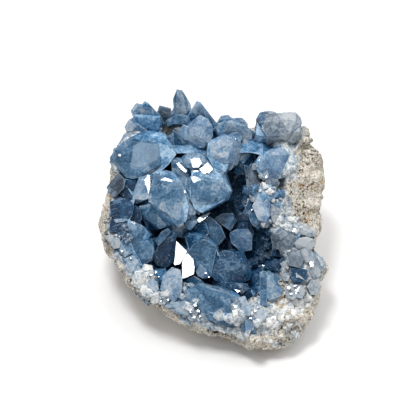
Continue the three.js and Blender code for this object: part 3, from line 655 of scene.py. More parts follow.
lay("midDeep", -3.4, (0.14, 0.3), 0.15, [(-5.6, -7), (-2, -6.8), (2.8, -10), (2, -13.6),
    (0.4, -22), (-2.6, -21.6), (-5.8, -19.2), (-6.6, -14.8), (-8.8, -12)], spread=1.04)
lay("midDeepUp", -5, (0.1, 0.35), 0.05, [(-8, -3.6), (-4.4, -0.8), (0, 2.4), (4.4, -1.6),
    (6.4, -6.4), (2.8, -9.8), (-2, -6.6), (-6, -6.6)], spread=1.05)
lay("smallClear", -2.6, (0.3, 0.4), 0.5, [(-5.8, -19.4), (-4, -17.4), (-1.8, -18.6), (-0.2, -22.2),
    (-2.4, -22.8), (-5, -21.6)], root=6, finish="milky")
# Lower right
lay("deepUpper", -7, (0.15, 0.25), 0.15, [(1.4, 1.2), (4.8, 3.4), (9.4, 3.6), (10.8, 0.4),
    (8.2, -3.6)], spread=1.05)
lay("deepBlock", -8.6, (0.15, 0.15), 0.2, [(7.6, -4.4, -0.4), (10.8, -2.6), (15.2, -2.8),
    (17.4, -5.6, -0.4), (16.8, -11.2, -0.4), (12.4, -12, -0.2), (8.6, -8.4, -0.4),
    (12.4, -6.8, 0.7)], root=9, spread=1.08, finish="milky")
lay("deepHex", -4.6, (-0.1, 0.35), 0.45, [(0.6, -22, -0.6), (2.8, -12.8), (5.6, -11.4, 0.2),
    (13.4, -12.2), (15.6, -16.8, -0.3), (16.6, -21.6, -0.8), (14.4, -24.8, -0.8),
    (11.2, -26, -0.4), (5.6, -25.4, -0.4), (1.6, -23.2, -0.8), (9.2, -16, 1.2)], root=8,
    spread=1.04, finish="deep")
lay("deepHexFoot", -5.6, (-0.05, 0.6), 0.35, [(1.2, -23.6), (5.6, -26), (11.2, -26.8), (16, -24.8),
    (17.2, -27.2), (12.8, -30), (6.4, -28.8), (1.6, -26)], root=8, spread=1.05, finish="deep")
lay("deepGlint", -3.6, (0.1, -0.12), 1, [(9.4, -26.8), (12.2, -27.4), (11.2, -28.2)], root=3,
    spread=1.1, finish="mirror")
lay("tallPrism", 2.2, (0.1, 0), 0.42, [(19.8, -19.6), (21.2, -18.4), (22.8, -20), (22.8, -34.4),
    (21.8, -36.4), (20, -33.6)], root=12, shift=(1, -2))
lay("tallPrismSide", 2, (-0.25, 0.05), 0.5, [(22.8, -20), (26.4, -20.8), (30, -25), (28.4, -29.6),
    (24, -32), (22.9, -30.4), (26, -25.6, 0.5)], spread=1.03)
lay("prismCap", -5.6, (0.2, 0.4), 0.4, [(21.2, -17.6), (26, -14.4), (29.6, -16), (28.4, -20),
    (24, -19.8)], root=8, spread=1.05, finish="deep")
lay("shadeShard", -7.4, (0.2, 0.5), 0.3, [(12, -30.2), (16.8, -27), (19.4, -30.4), (19.6, -36.8),
    (16, -34.8)], root=8, spread=1.05, finish="deep")
# Front row
lay("frontGreat", 2.2, (0.1, 0.16), 0.45, [(-10.2, -27.6, -0.6), (-7.2, -25.8, -0.2),
    (-3.6, -24.6), (0.8, -25.8), (5.6, -27.8), (11.2, -30.6, -0.2), (13.2, -35.2, -0.5),
    (13.8, -39.6, -1.2), (11.2, -42, -1.6), (4.8, -41.4, -1.6), (-1.6, -38.6, -1.4),
    (-7.2, -34.4, -1), (-9.6, -30.8, -0.8), (-3.6, -28, 0.6), (3.2, -30, 0.7), (8, -34, 0.6),
    (0.8, -34.8, 0.5)], root=9, spread=1.03, shift=(0, 0.4))
lay("frontPrismA", 3, (0.05, 0.05), 0.85, [(11, -30.3), (14, -29.6), (16.6, -34.8), (16, -37.6),
    (13.2, -37), (12, -33.2)], root=9, finish="milky")
lay("frontPrismB", 2.4, (0.1, 0.1), 0.85, [(16.6, -34.2), (18.8, -32.3), (20.8, -34.4),
    (22.4, -38.4), (20.4, -40.6), (17.4, -38.6)], root=9, finish="milky")
lay("frontPrismC", 1.2, (0.1, 0.05), 0.6, [(13.6, -37.8), (16.4, -38), (18.6, -40.4),
    (17.2, -43.6), (14.4, -43.2)], root=8, finish="milky")
lay("frontShade", 0.2, (0.2, 0.3), 0.15, [(13.2, -40), (16.8, -40.8), (18.4, -44.4), (14.4, -45.2),
    (12.4, -43.2)], root=8, spread=1.05)
lay("frontPale", 1.8, (0.1, 0.12), 0.6, [(-20, -27.2, -0.4), (-18.8, -21.4, -0.2), (-15.2, -18.2),
    (-11.8, -19.2), (-11, -23.6, -0.2), (-11.2, -28, -0.4), (-13.6, -31.6, -0.8),
    (-18, -31.4, -0.8), (-15.6, -24.8, 0.6)], root=9, spread=1.04, finish="milky")
lay("frontPaleLow", 1.2, (0.15, 0.1), 0.75, [(-25.4, -24.4), (-23.6, -23), (-20.8, -23.8),
    (-20.4, -27.2), (-22.8, -28.8), (-25, -27.4)], root=8, spread=1.04, finish="milky")
lay("frontBlueLow", 0.8, (0.15, 0.2), 0.6, [(-17.6, -32.4), (-13.2, -32), (-9.6, -31.4),
    (-5.6, -36), (-8, -38), (-13.6, -36.4)], root=8, spread=1.04)
lay("leftRimPale", 2, (0.25, 0.1), 1.1, [(-41.8, -6.2), (-40.4, -5), (-38.4, -5.2), (-38, -7.6),
    (-40, -8.4)], root=7, spread=1.03, finish="smoky")
lay("leftRimPaleLow", 1.4, (0.1, 0.2), 0.9, [(-38.4, -5.8), (-36.4, -6.4), (-35.7, -8.4),
    (-36.2, -10.4), (-38.4, -10.8), (-39.8, -9)], root=7, spread=1.03, finish="smoky")
lay("leftLowBlock", 0.8, (0.15, 0.2), 0.55, [(-37.2, -8.4), (-34.4, -6.6), (-31.2, -8.2),
    (-30.6, -12), (-33.6, -14.4), (-36.4, -12)], root=9, spread=1.05)
lay("leftLowBlockB", 0.6, (0.15, 0.15), 0.7, [(-34.4, -14.8), (-30.8, -13), (-27.6, -16.8),
    (-28, -20.4), (-31.6, -20)], root=9, spread=1.05, finish="milky")
# Left wall
lay("wallPlateA", 0.4, (0.5, 0.3), 0.1, [(-41.6, 13.8), (-39.2, 16.8), (-36.8, 19.8),
    (-33.8, 16.8), (-34.4, 13.4), (-37, 10.8), (-38.6, 9.2), (-40.8, 12)], root=8, shift=(1, 0),
    finish="smoky")
lay("wallPlateB", 0.6, (0.35, 0.3), 0.2, [(-36.4, 16.8), (-33.2, 17.4), (-28.4, 17.6),
    (-30.4, 9.2), (-33.2, 8.8), (-36.2, 11.2)], root=8, shift=(1, 0), finish="deep")
lay("wallPlateC", 1.8, (0.15, 0.2), 0.2, [(-40.2, 8.2), (-36.8, 9), (-32.8, 9.6), (-30.4, 6.4),
    (-31.4, 1.2), (-36, 0.8), (-39.8, 2.4), (-35.6, 5.2, 0.6)], root=8, shift=(1, 0),
    finish="deep")
lay("wallPlateD", 0.4, (0.3, 0.3), 0.2, [(-32.2, 4), (-30, 6.8), (-27.6, 4.8), (-27.2, 1.2),
    (-28.8, -0.4), (-31.6, 1.2)], root=8, shift=(1, 0), finish="deep")
lay("wallShard", 1.6, (0.3, 0), 0.6, [(-38.8, 1.2), (-33.2, 1.4), (-33, 0.5), (-37.6, -0.4)],
    root=5, finish="milky")
# Right rim, and planes elsewhere painted dark as shade
lay("rimBlockA", 2.6, (-0.05, 0.15), 0.6, [(18.8, 10.4), (21.2, 9.2, 0.4), (23.6, 8), (24.8, 4),
    (25.6, -0.8), (22.4, -2.4), (19.6, 0), (18.4, 4), (16.8, 6.4), (21.6, 4, 0.8)], spread=1.04,
    shift=(0.4, 0), finish="milky")
lay("rimBlockB", 0.4, (-0.25, 0.1), 0.4, [(15, 3.6), (16.8, 6), (19.6, 3.8), (21.2, -0.4),
    (19.4, -3), (16.4, -0.8)], root=8, spread=1.04)
lay("rimGreyA", 3.4, (0, 0.2), 0.45, [(24.2, -5.8, -0.4), (26.4, -3.8), (30.4, -3),
    (34.4, -3.8, -0.4), (35.4, -7.2, -0.8), (32, -11, -0.8), (27.6, -11.2, -0.6), (25, -9.6, -0.8),
    (29.6, -7, 0.6)], root=9, spread=1.04, finish="smoky")
lay("rimGreyB", 2.6, (-0.2, 0), 0.5, [(30.2, -11.8), (33.6, -10.8), (37.2, -12), (38, -16),
    (35.6, -18.4), (31.6, -17.4)], root=9, spread=1.04, finish="smoky")
lay("rimGreyC", 2.2, (-0.3, 0.1), 0.75, [(36, -11.2), (39.2, -9.6), (41.4, -12.8), (40.8, -16.8),
    (38, -16)], root=8, finish="smoky")
lay("rimSparkle", 2.2, (0.1, -0.13), 1, [(39.8, -16), (41.4, -15.4), (41.5, -18), (40.2, -18)],
    root=4, finish="mirror")
lay("rimNotch", -0.6, (-0.3, 0.2), 0.35, [(25.2, -16.4), (30, -15.6), (32.4, -18), (30, -20),
    (26.8, -19.6)], root=8, finish="deep")
lay("rimWhiteA", 2.2, (-0.1, -0.05), 0.85, [(30, -26.4), (32.4, -24.6), (35.2, -26), (35.6, -29.6),
    (32.8, -31.4), (30.4, -30)], root=9, finish="smoky")
lay("rimWhiteB", 2.6, (0.1, -0.1), 0.8, [(33.6, -25.6), (36.4, -25), (38.4, -27.6), (36.8, -30.8),
    (34.4, -30)], root=8, finish="smoky")
lay("rimTan", 2, (-0.3, 0.1), 0.9, [(28.6, -22), (30.8, -20.2), (32.2, -21.6), (31.2, -23.8),
    (29.4, -23.6)], root=7, finish="smoky")
lay("wallDark", 0.2, (0.3, 0.1), 0.05, [(-40, 0.8), (-36, 1), (-35.2, -1.6), (-37.2, -4.4),
    (-40.4, -3.6)], root=8, shift=(1, 0), finish="deep")
lay("rimBlockC", 2.2, (-0.2, 0.15), 0.85, [(24.4, 7.2), (26.8, 7.8), (29.2, 4.8), (29.6, 0.8),
    (27.2, -2.4), (24.8, 0), (24, 4)], root=9, shift=(0.4, 0), finish="smoky")
lay("rimCream", 2.6, (-0.15, 0.1), 1.25, [(33.6, -8.4), (35.6, -6.4), (38.8, -5.8), (41.6, -6.8),
    (42, -9.6), (39.2, -11.6), (34.8, -11.2), (37.6, -8.4, 0.5)], root=8, finish="smoky")
lay("rimCreamUp", 2, (-0.25, 0.1), 0.95, [(35.6, -2.4), (39.2, -1.6), (42.2, -3.2), (42.4, -5.6),
    (39.2, -6), (36, -5.6)], root=7, finish="smoky")
lay("rimPaleEdgeA", 0.8, (-0.4, 0.05), 0.8, [(40.4, -11.6), (42.4, -12.8), (44.2, -16.8),
    (44.2, -21.6), (41.6, -22.8), (39.6, -19.2), (39.6, -14.8)], root=8, shift=(-0.8, 0),
    finish="smoky")
lay("rimPaleEdgeB", -0.4, (-0.4, 0.1), 0.85, [(40.4, -23.2), (43.2, -22.4), (44.2, -26),
    (43, -29.2), (40.4, -29.2), (38.8, -26)], root=8, shift=(-0.8, 0), finish="smoky")
lay("notchDark", 1, (-0.2, 0.2), 0.45, [(32, -18), (35.6, -17.6), (38.8, -19.2), (39.2, -22.8),
    (35.6, -24.8), (32.4, -23.2)], root=8, finish="deep")
lay("rimTile", 2, (-0.2, 0.1), 1, [(28, -16.6), (29.6, -15.4), (32.2, -17), (31.2, -18.6),
    (29, -18.2)], root=7, finish="smoky")
lay("slabDark", 5, (-0.05, -0.15), 0.25, [(18.4, 41.2, -1), (19.8, 43.7, -1), (22.4, 44.6, -1),
    (24, 43.6), (22.4, 41.2), (21, 39.2), (19.8, 35.6, -0.4), (18.3, 35.6, -0.8)], root=4,
    spread=0.95, shift=(0, -1), finish="deep")
lay("rearBetween", 1, (0, 0.3), 0.3, [(-18.8, 43), (-13.6, 42.8, 0.4), (-8.4, 43.2), (-7.6, 40.4),
    (-10.4, 38.8), (-13.4, 40.4), (-16, 40.6), (-18.4, 40)], root=8, shift=(0, -5))
lay("wallShade", 1.4, (-0.4, 0.2), 0.4, [(18.4, 12.4), (19.8, 10.6), (17, 6.4), (14.8, 3),
    (13.4, 3.8), (15.2, 9.2)], root=8, finish="deep")
# Small faces that catch the lamp: height, slopes and corners. They take the palest tone, a painted
# highlight over the lamp's reflection.
glints = [
    (2.9, (0.08, -0.11), [(-7, -33.1), (-5.7, -32.6), (-5.2, -33.6), (-6.3, -33.8)]),
    (2.8, (0.14, -0.1), [(-8, -36.2), (-8.3, -35.8), (-7.6, -35.7), (-7.2, -36), (-7.6, -36.3)]),
    (2.9, (0.15, -0.16), [(-5.6, -35.7), (-4.9, -35), (-4.1, -35.4), (-4.5, -36.2)]),
    (2.6, (0.1, -0.15), [(-7.1, -38.2), (-6.4, -37.3), (-5.6, -37.8), (-6.3, -38.6)]),
    (2.6, (0.12, -0.11), [(-4.2, -37.2), (-3.5, -37.5), (-3.6, -37.9), (-4.6, -37.8)]),
    (3.6, (0.15, -0.17), [(17.7, -35.2), (18.3, -35.1), (18.5, -36), (17.7, -36)]),
    (3.4, (0.09, -0.16), [(16.5, -38.1), (16.8, -38.3), (16.7, -38.7), (15.9, -38.8),
     (15.7, -38.3)]),
    (3.5, (0.1, -0.16), [(19.6, -33.9), (19.3, -34.4), (18.9, -33.7)]),
    (3.5, (0.15, -0.13), [(31, -26.7), (30.9, -26), (31.4, -25.6), (32.2, -26.4), (32, -27)]),
    (3.6, (0.12, -0.13), [(33.5, -25.6), (34, -25), (34.7, -25.4), (34, -26)]),
    (3.4, (0.12, -0.15), [(31.8, -28.6), (32.8, -28.2), (33, -28.9), (32.1, -29.2)]),
    (3.4, (0.09, -0.15), [(35.1, -28), (34.8, -27.6), (35.4, -27.4), (35.7, -27.8)]),
    (-2.4, (0.15, -0.15), [(21.4, -17.8), (20.7, -17.4), (21, -17), (21.8, -17.4)]),
    (2.6, (0.12, -0.09), [(-23.9, -20.7), (-22.9, -21), (-23.2, -21.8), (-24.3, -21.4)]),
    (2.5, (0.1, -0.13), [(-21.4, -19.5), (-21.2, -20), (-21.6, -20.5), (-22.1, -20)]),
    (2.5, (0.11, -0.1), [(-20.1, -22), (-20.4, -22.4), (-20.8, -22.1), (-20.8, -21.7),
     (-20.2, -21.8)]),
    (2.6, (0.11, -0.15), [(-17.4, -31), (-16.6, -30.7), (-16.4, -31.2), (-16.7, -31.6)]),
    (2.4, (0.09, -0.09), [(-20.1, -31.6), (-19.7, -31.3), (-19.2, -31.5), (-19.2, -32),
     (-19.9, -31.8)]),
    (2.4, (0.11, -0.12), [(-35.3, -11.3), (-34.6, -11.4), (-34.9, -11.8), (-35.6, -12),
     (-35.8, -11.5)]),
    (2.2, (0.07, -0.08), [(-31.2, -14.4), (-31.6, -14.8), (-32.2, -14.6), (-31.9, -14.2),
     (-31.5, -14.1)]),
    (3.6, (0.09, -0.08), [(18.4, 22.4), (18.9, 22.8), (19.1, 22.1)]),
    (3.4, (0.12, -0.13), [(22.8, 17.6), (22.3, 17.7), (21.9, 18), (22.3, 18.5), (23, 18.3)]),
    (3.5, (0.14, -0.15), [(19.4, 25), (19.9, 25), (19.9, 24.7), (19.4, 24.5)]),
    (2.6, (0.13, -0.09), [(18.4, 7.4), (18.4, 6.8), (17.8, 6.8), (17.4, 7.4)]),
    (2.2, (0.15, -0.15), [(16.6, 5.1), (16.9, 5.2), (17.2, 4.8), (16.8, 4.6), (16.5, 4.6)]),
    (5.6, (0.09, -0.16), [(10.2, 33), (10, 33.4), (10.8, 33.2)]),
    (5.8, (0.08, -0.11), [(6.8, 31.7), (6.3, 31.7), (6, 32.2), (6.6, 32.2)]),
    (3.4, (0.12, -0.12), [(-36, 26.2), (-36.7, 26.6), (-36.3, 27.1), (-35.5, 27.2),
     (-35.6, 26.6)]),
    (-1.6, (0.14, -0.16), [(-1.2, -20.8), (-1.8, -20.8), (-2.2, -20.3), (-1.4, -20),
     (-1.2, -20.4)]),
    (-1.8, (0.15, -0.14), [(0, -21.8), (-0.2, -22.3), (-0.8, -22.2), (-0.7, -21.6)]),
]
for number, (height, slopes, corners) in enumerate(glints):
    lay("sparkle%d" % number, height, slopes, 1, corners, root=3, finish="mirror")

crystals = {
    "chips": (3, 7),  # corners broken off a crystal, fewest and most
    "chipDepth": (0.02, 0.13),  # share of the way from the corner to the middle
    "chipTurn": 0.5,  # how far a break leans from square to that way
    "facets": 0.15,  # share of the edges with a facet along them
    "facetWidth": (0.3, 0.8),  # mm
    "oneFace": 0.04,  # radians, the bend below which two faces are made one
    "plain": ("rearLeftCap", "rearPeak", "rearBluntPeak", "rearWedge", "tallPrism", "darkWedge"),
    "growthSpacing": 2.2,  # mm of a crystal's radius for each parallel growth on it
    "growthPlace": (0.5, 0.85),  # share of the way from its middle to a corner
    "growthRise": (-1.8, 0.1),  # mm over its face, mostly under it
    "growthTurn": 0.5,  # radians, at most
    "growthSize": (0.25, 0.5),  # of the crystal
    "growthRoot": 0.6,  # of the crystal's root
    "growthTone": 0.08,
    # a random change of tone from face to face, partly painted light: it stands in for facets lit
    # unevenly
    "toneSpread": 0.17,
    "worn": 0.16,  # mm, the rounded edge between two faces
    "wornBend": 0.15,  # radians, the least bend between faces with a worn edge
}


def hullOf(points, name):
    bpy.ops.mesh.primitive_circle_add(vertices=len(points), radius=mm)
    crystal = bpy.context.object
    crystal.name = name
    for vertex, point in zip(crystal.data.vertices, points):
        vertex.co = point
    bpy.ops.object.mode_set(mode="EDIT")
    bpy.ops.mesh.delete(type="EDGE_FACE")
    bpy.ops.mesh.select_all(action="SELECT")
    bpy.ops.mesh.convex_hull(join_triangles=False)
    bpy.ops.mesh.select_all(action="SELECT")
    bpy.ops.mesh.dissolve_limited(angle_limit=crystals["oneFace"])
    bpy.ops.object.mode_set(mode="OBJECT")
    return crystal


def cutOff(place, normal):  # edit mode, everything beyond the plane goes
    bpy.ops.mesh.select_all(action="SELECT")
    bpy.ops.mesh.bisect(plane_co=place, plane_no=normal, use_fill=True, clear_outer=True)


def chooseEdges(crystal, test):  # edit mode, selects the edges that pass the test
    bpy.ops.object.mode_set(mode="OBJECT")
    mesh = crystal.data
    for part in [*mesh.vertices, *mesh.edges, *mesh.polygons]:
        part.select = False
    chosen = [edge for edge in mesh.edges if test(edge)]
    for edge in chosen:
        edge.select = True
    bpy.ops.object.mode_set(mode="EDIT")
    bpy.ops.mesh.select_mode(type="EDGE")
    return chosen


def middleOf(points):
    return sum(points, Vector()) / len(points)


def makeCrystal(name, top, root, spread, shift, tone, flawless, dice):
    middle = middleOf(top)
    foot = [(corner - middle) * spread + middle + Vector((*shift, -root)) for corner in top]
    crystal = hullOf([seenPoint(*corner) for corner in top + foot], name)
    heart = middleOf([v.co for v in crystal.data.vertices])
    seen = [v.co.copy() for v in crystal.data.vertices if (v.co - heart).dot(outward) > 0]
    bpy.ops.object.mode_set(mode="EDIT")
    if not flawless:
        turn = crystals["chipTurn"]
        for corner in dice.sample(seen, min(len(seen), dice.randint(*crystals["chips"]))):
            away = corner - heart
            normal = away.normalized() + Vector([dice.uniform(-turn, turn) for axis in "xyz"])
            cutOff(corner - away * dice.uniform(*crystals["chipDepth"]), normal.normalized())
        if chooseEdges(crystal, lambda edge: dice.random() < crystals["facets"]):
            width = dice.uniform(*crystals["facetWidth"])
            bpy.ops.mesh.bevel(offset=width * mm, clamp_overlap=True)
    bpy.ops.object.mode_set(mode="OBJECT")
    uneven = 0 if flawless else crystals["toneSpread"]
    tones = [tone + dice.uniform(-uneven, uneven) for face in crystal.data.polygons]
    crystal.data.attributes.new("tone", "FLOAT", "FACE").data.foreach_set("value", tones)
    return crystal


def topOf(height, slopes, corners):
    middle = middleOf([Vector((corner[0], corner[1], 0)) for corner in corners])
    top = []
    for x, y, *rise in corners:
        h = height + slopes[0] * (x - middle.x) + slopes[1] * (y - middle.y)
        top.append(Vector((x, y, h + (rise[0] if rise else 0))))
    return top


def growthsOn(top, slopes, dice):  # the tops of the smaller parallel crystals round its edge
    middle = middleOf(top)
    radius = sum((corner - middle).length for corner in top) / len(top)
    most, tops = crystals["growthTurn"], []
    for number in range(int(radius / crystals["growthSpacing"])):
        place = middle + (dice.choice(top) - middle) * dice.uniform(*crystals["growthPlace"])
        place.z += dice.uniform(*crystals["growthRise"])
        turn = Matrix.Rotation(dice.uniform(-most, most), 3, "Z")
        size = dice.uniform(*crystals["growthSize"])
        growth = [place + turn @ (corner - middle) * size for corner in top]
        for corner in growth:  # in the plane of the large crystal's face
            flat = corner - place
            corner.z = place.z + slopes[0] * flat.x + slopes[1] * flat.y
        tops.append(growth)
    return tops


def makeCrystals():
    groups = {"clear": [], "mirror": [], "milky": [], "smoky": [], "deep": []}
    change = crystals["growthTone"]
    for name, height, slopes, tone, corners, root, spread, shift, finish in crystalRows:
        dice, group = random.Random(name), groups[finish]
        top = topOf(height, slopes, corners)
        flawless = finish == "mirror"
        group.append(makeCrystal(name, top, root, spread, shift, tone, flawless, dice))
        if flawless or name in crystals["plain"]:
            continue
        for growth in growthsOn(top, slopes, dice):
            own = tone + dice.uniform(-change, change)
            ownRoot = root * crystals["growthRoot"]
            group.append(makeCrystal(name, growth, ownRoot, spread, shift, own, False, dice))
    groups["clear"] += groups.pop("mirror")
    pieces = [joined(group, "celestite" + finish.title()) for finish, group in groups.items()]
    for piece in pieces:
        piece.data.materials.append(None)
        piece.data.materials.append(None)
        # the worn, rounded edges take the second material, pale as a painted highlight
        applied(piece, "BEVEL", width=crystals["worn"] * mm, limit_method="ANGLE",
                angle_limit=crystals["wornBend"], material=1)
        print(piece.name, triangleCount(piece), "triangles")
    return pieces


# Smaller crystals between the large ones: medium prisms in the gaps, and druse all over

# Where they grow: x, y and radius as seen, tone from deep to pale, size in mm, share of them
# The lowest tones, on the left wall and in the cavities, are painted shade.
drusePatches = [
    (-36.8, 10.8, 6, -0.25, 1.8, 0.07),
    (-39.2, 0, 6, -0.25, 1.8, 0.1),
    (-42.4, 6.8, 2.4, 0.6, 1.8, 0.8),
    (-32.8, -5.2, 4, -0.15, 2.4, 0.4),
    (-40, -7.2, 3.6, 0.75, 2.4, 1),
    (-36, -15.2, 4.8, 0.75, 2.8, 0.9),
    (-30.4, -22.8, 5.2, 0.75, 3, 0.9),
    (-23.2, -27.2, 4.8, 0.8, 3.2, 0.8),
    (-15.6, -31.2, 4.8, 0.7, 3, 0.8),
    (-10.4, -27.2, 3.2, 0.5, 2.6, 0.8),
    (-10.4, -36.8, 4.8, 0.58, 3, 0.8),
    (-3.2, -40.8, 5.2, 0.58, 2.6, 0.8),
    (4.8, -43.6, 5.2, 0.68, 2.4, 0.8),
    (12, -42, 4.8, 0.68, 2.6, 0.8),
    (16.8, -37.6, 4.8, 0.68, 2.6, 0.6),
    (22.4, -34.4, 3.4, 0.8, 2.6, 0.4),
    (25.6, -38.4, 5.2, 1, 2.4, 0.4),
    (32, -42.4, 4.8, 0.75, 2, 0.2),
    (26, -46, 4.8, 0.7, 1.8, 0.25),
    (35.2, -31.2, 5.6, 1.2, 2.2, 0.8),
    (39.6, -24.8, 4.4, 0.8, 1.8, 0.25),
    (35.2, -19.2, 4, 0.15, 1.6, 0.25),
    (31, -26.4, 3.4, 0.75, 2, 0.4),
    (19.2, 10.8, 3.6, 0.65, 1.8, 0.24),
    (22, 6.4, 4, 0.75, 1.8, 0.3),
    (24.8, 1.6, 4.4, 0.85, 1.8, 0.4),
    (20.8, -1.6, 4, 0.6, 1.8, 0.4),
    (28.4, -5.6, 4.4, 0.6, 1.8, 0.2),
    (32.4, -11.2, 4.4, 0.6, 1.8, 0.2),
    (27.2, -13.6, 3.6, 0.05, 2, 0.4),
    (36.8, -16, 3.6, 0.8, 1.6, 0.2),
    (18.4, 21.6, 3.2, 0.5, 1.8, 0.08),
    (22.8, 16.8, 3.6, 0.65, 1.8, 0.2),
    (26.4, 10.4, 3.6, 0.8, 1.6, 0.5),
    (32.8, -1.2, 4, 0.95, 1.6, 0.3),
    (20.8, -13.2, 5.2, -0.2, 2.6, 0.12),
    (13.2, 8.8, 3.6, -0.2, 2.6, 0.12),
    (10, -33.2, 3.2, 0.4, 2.6, 0.6),
    (-4, -31.2, 3.2, 0.4, 2.6, 0.6),
]
medium = {
    "kinds": 6,
    "seed": 5,  # of their places
    "tall": (1.2, 2.2),  # of their width
    "sunk": 0.1,  # of their width, the middle under the bed
    "density": 1.0,  # for each square mm, at most
    "apart": 3.2,  # mm between two of them
    "size": 3.8,  # mm
    "sizes": (0.6, 1.3),  # of that, the least and the most
    "tilt": 0.7,  # radians, how far each leans at most
    "keepOff": 1.5,  # mm from a large crystal
    "share": 0.4,
    "full": 4,  # times the patch's share, and 1 at most: what part of that it gets
    "reach": 1.2,  # of a patch's radius
    "deeper": 0.1,  # than the patch's tone, as painted shade
}
druse = {
    "kinds": 8,
    "shapes": 11,  # seed of the shapes of both
    "seed": 3,
    "tall": (0.9, 1.2),
    "sunk": 0.35,
    "density": 3.0,
    "apart": 0.75,  # mm
    "sizes": (0.7, 1.6),  # of the patch's size
    "tilt": 0.4,
    "keepOff": 0.5,  # mm
    "reach": 1.15,
    "fade": 2.2,  # how soon they end there
    "mesh": 0.8,  # mm, the grain of the surface that they are sown on
    "search": 4,  # mm, how far a large crystal is looked for
    "facing": -0.1,  # what turns further from the eye has none
    "clearance": 0.3,  # mm over the bed, from where it has to be seen
}


block = {  # the shape of both, each cut from a cube one wide
    "thick": (0.45, 0.85),
    "lean": 0.5,  # of its tip, at most
    "broad": (0.5, 1.2),  # the slopes of the tip's broad faces
    "narrow": (0.4, 1.1),  # and of its narrow ones
    "bevel": (0.6, 1.2),  # how the two cut edges turn
}


def makeTemplates(name, dice, how):  # blocky prisms with a chisel tip
    templates = newCollection(name)
    for number in range(how["kinds"]):
        bpy.ops.mesh.primitive_cube_add(size=1, location=(0, 0, -how["sunk"]), scale=(
            1, dice.uniform(*block["thick"]), dice.uniform(*how["tall"])))
        bpy.ops.object.transform_apply(location=True, rotation=False, scale=True)
        crystal = bpy.context.object
        crystal.name = "%s%d" % (name, number)
        top = max(v.co.z for v in crystal.data.vertices)
        bpy.ops.object.mode_set(mode="EDIT")
        lean = dice.uniform(-block["lean"], block["lean"])
        for side in (-1, 1):  # the tip's four faces
            ridge = (side * 0.15 + lean * 0.2, 0, top)
            cutOff(ridge, (side * dice.uniform(*block["broad"]), lean, 0.8))
            ridge = (0, side * 0.2, top * 0.95)
            cutOff(ridge, (lean, side * dice.uniform(*block["narrow"]), 0.8))
        for side in (-1, 1):  # and two edges of the prism
            cutOff((side * 0.44, 0.3, 0), (side, dice.uniform(*block["bevel"]), 0.15))
        bpy.ops.object.mode_set(mode="OBJECT")
        templates.objects.link(crystal)
        bpy.context.scene.collection.objects.unlink(crystal)
    return templates


def sown(bed, templates, name, how):
    # joins copies of the templates on the bed: how many and how large by its attributes
    tree = bpy.data.node_groups.new(name, "GeometryNodeTree")
    tree.interface.new_socket("Geometry", in_out="INPUT", socket_type="NodeSocketGeometry")
    tree.interface.new_socket("Geometry", in_out="OUTPUT", socket_type="NodeSocketGeometry")
    source = addNode(tree, "NodeGroupInput")
    share, size, tone = [
        addNode(tree, "GeometryNodeInputNamedAttribute", {"Name": key}, data_type="FLOAT")
        for key in ("share", "size", "tone")]
    points = addNode(tree, "GeometryNodeDistributePointsOnFaces", {
        "Mesh": source, "Distance Min": how["apart"] * mm, "Density Max": how["density"] / mm / mm,
        "Density Factor": share, "Seed": how["seed"]}, distribute_method="POISSON")
    most = (how["tilt"], how["tilt"], math.pi)
    turn = addNode(tree, "FunctionNodeRandomValue", {
        0: [-angle for angle in most], 1: most, "Seed": how["seed"] + 1}, data_type="FLOAT_VECTOR")
    turned = addNode(tree, "FunctionNodeRotateRotation", {
        "Rotation": points.node.outputs["Rotation"], "Rotate By": turn}, rotation_space="LOCAL")
    spread = addNode(tree, "FunctionNodeRandomValue", {
        2: how["sizes"][0], 3: how["sizes"][1], "Seed": how["seed"] + 2}, output=1, data_type="FLOAT")
    scale = addNode(tree, "ShaderNodeMath", {0: spread, 1: size}, operation="MULTIPLY")
    change = addNode(tree, "FunctionNodeRandomValue", {
        2: -crystals["toneSpread"], 3: crystals["toneSpread"], "Seed": how["seed"] + 3},
        output=1, data_type="FLOAT")
    own = addNode(tree, "ShaderNodeMath", {0: tone, 1: change}, operation="ADD")
    toned = addNode(tree, "GeometryNodeStoreNamedAttribute", {
        "Geometry": points, "Name": "tone", "Value": own}, data_type="FLOAT", domain="POINT")
    kinds = addNode(tree, "GeometryNodeCollectionInfo", {
        "Collection": templates, "Separate Children": True})
    copies = addNode(tree, "GeometryNodeInstanceOnPoints", {
        "Points": toned, "Instance": kinds, "Pick Instance": True, "Rotation": turned, "Scale": scale})
    solid = addNode(tree, "GeometryNodeRealizeInstances", {"Geometry": copies})
    addNode(tree, "NodeGroupOutput", {0: solid})
    piece = copyOf(bed, name)
    applied(piece, "NODES", node_group=tree)
    piece.data.materials.clear()
    print(name, triangleCount(piece), "triangles")
    return piece


def markPoints(bed, marks):
    for key, values in zip(("share", "size", "tone"), zip(*marks)):
        setValues(bed, key, values)


def mediumMark(patch, reach, far):  # share, size and tone of the prisms at a place
    tone, patchShare = patch[3], patch[5]
    here = far and reach < medium["reach"]
    share = medium["share"] * min(1, medium["full"] * patchShare) if here else 0
    return share, medium["size"] * mm, tone - medium["deeper"]


def druseMark(patch, reach, bare):  # and of the druse
    tone, size, share = patch[3:]
    share = share * clamped(druse["fade"] * (druse["reach"] - reach)) * bare
    return share, size * mm, tone


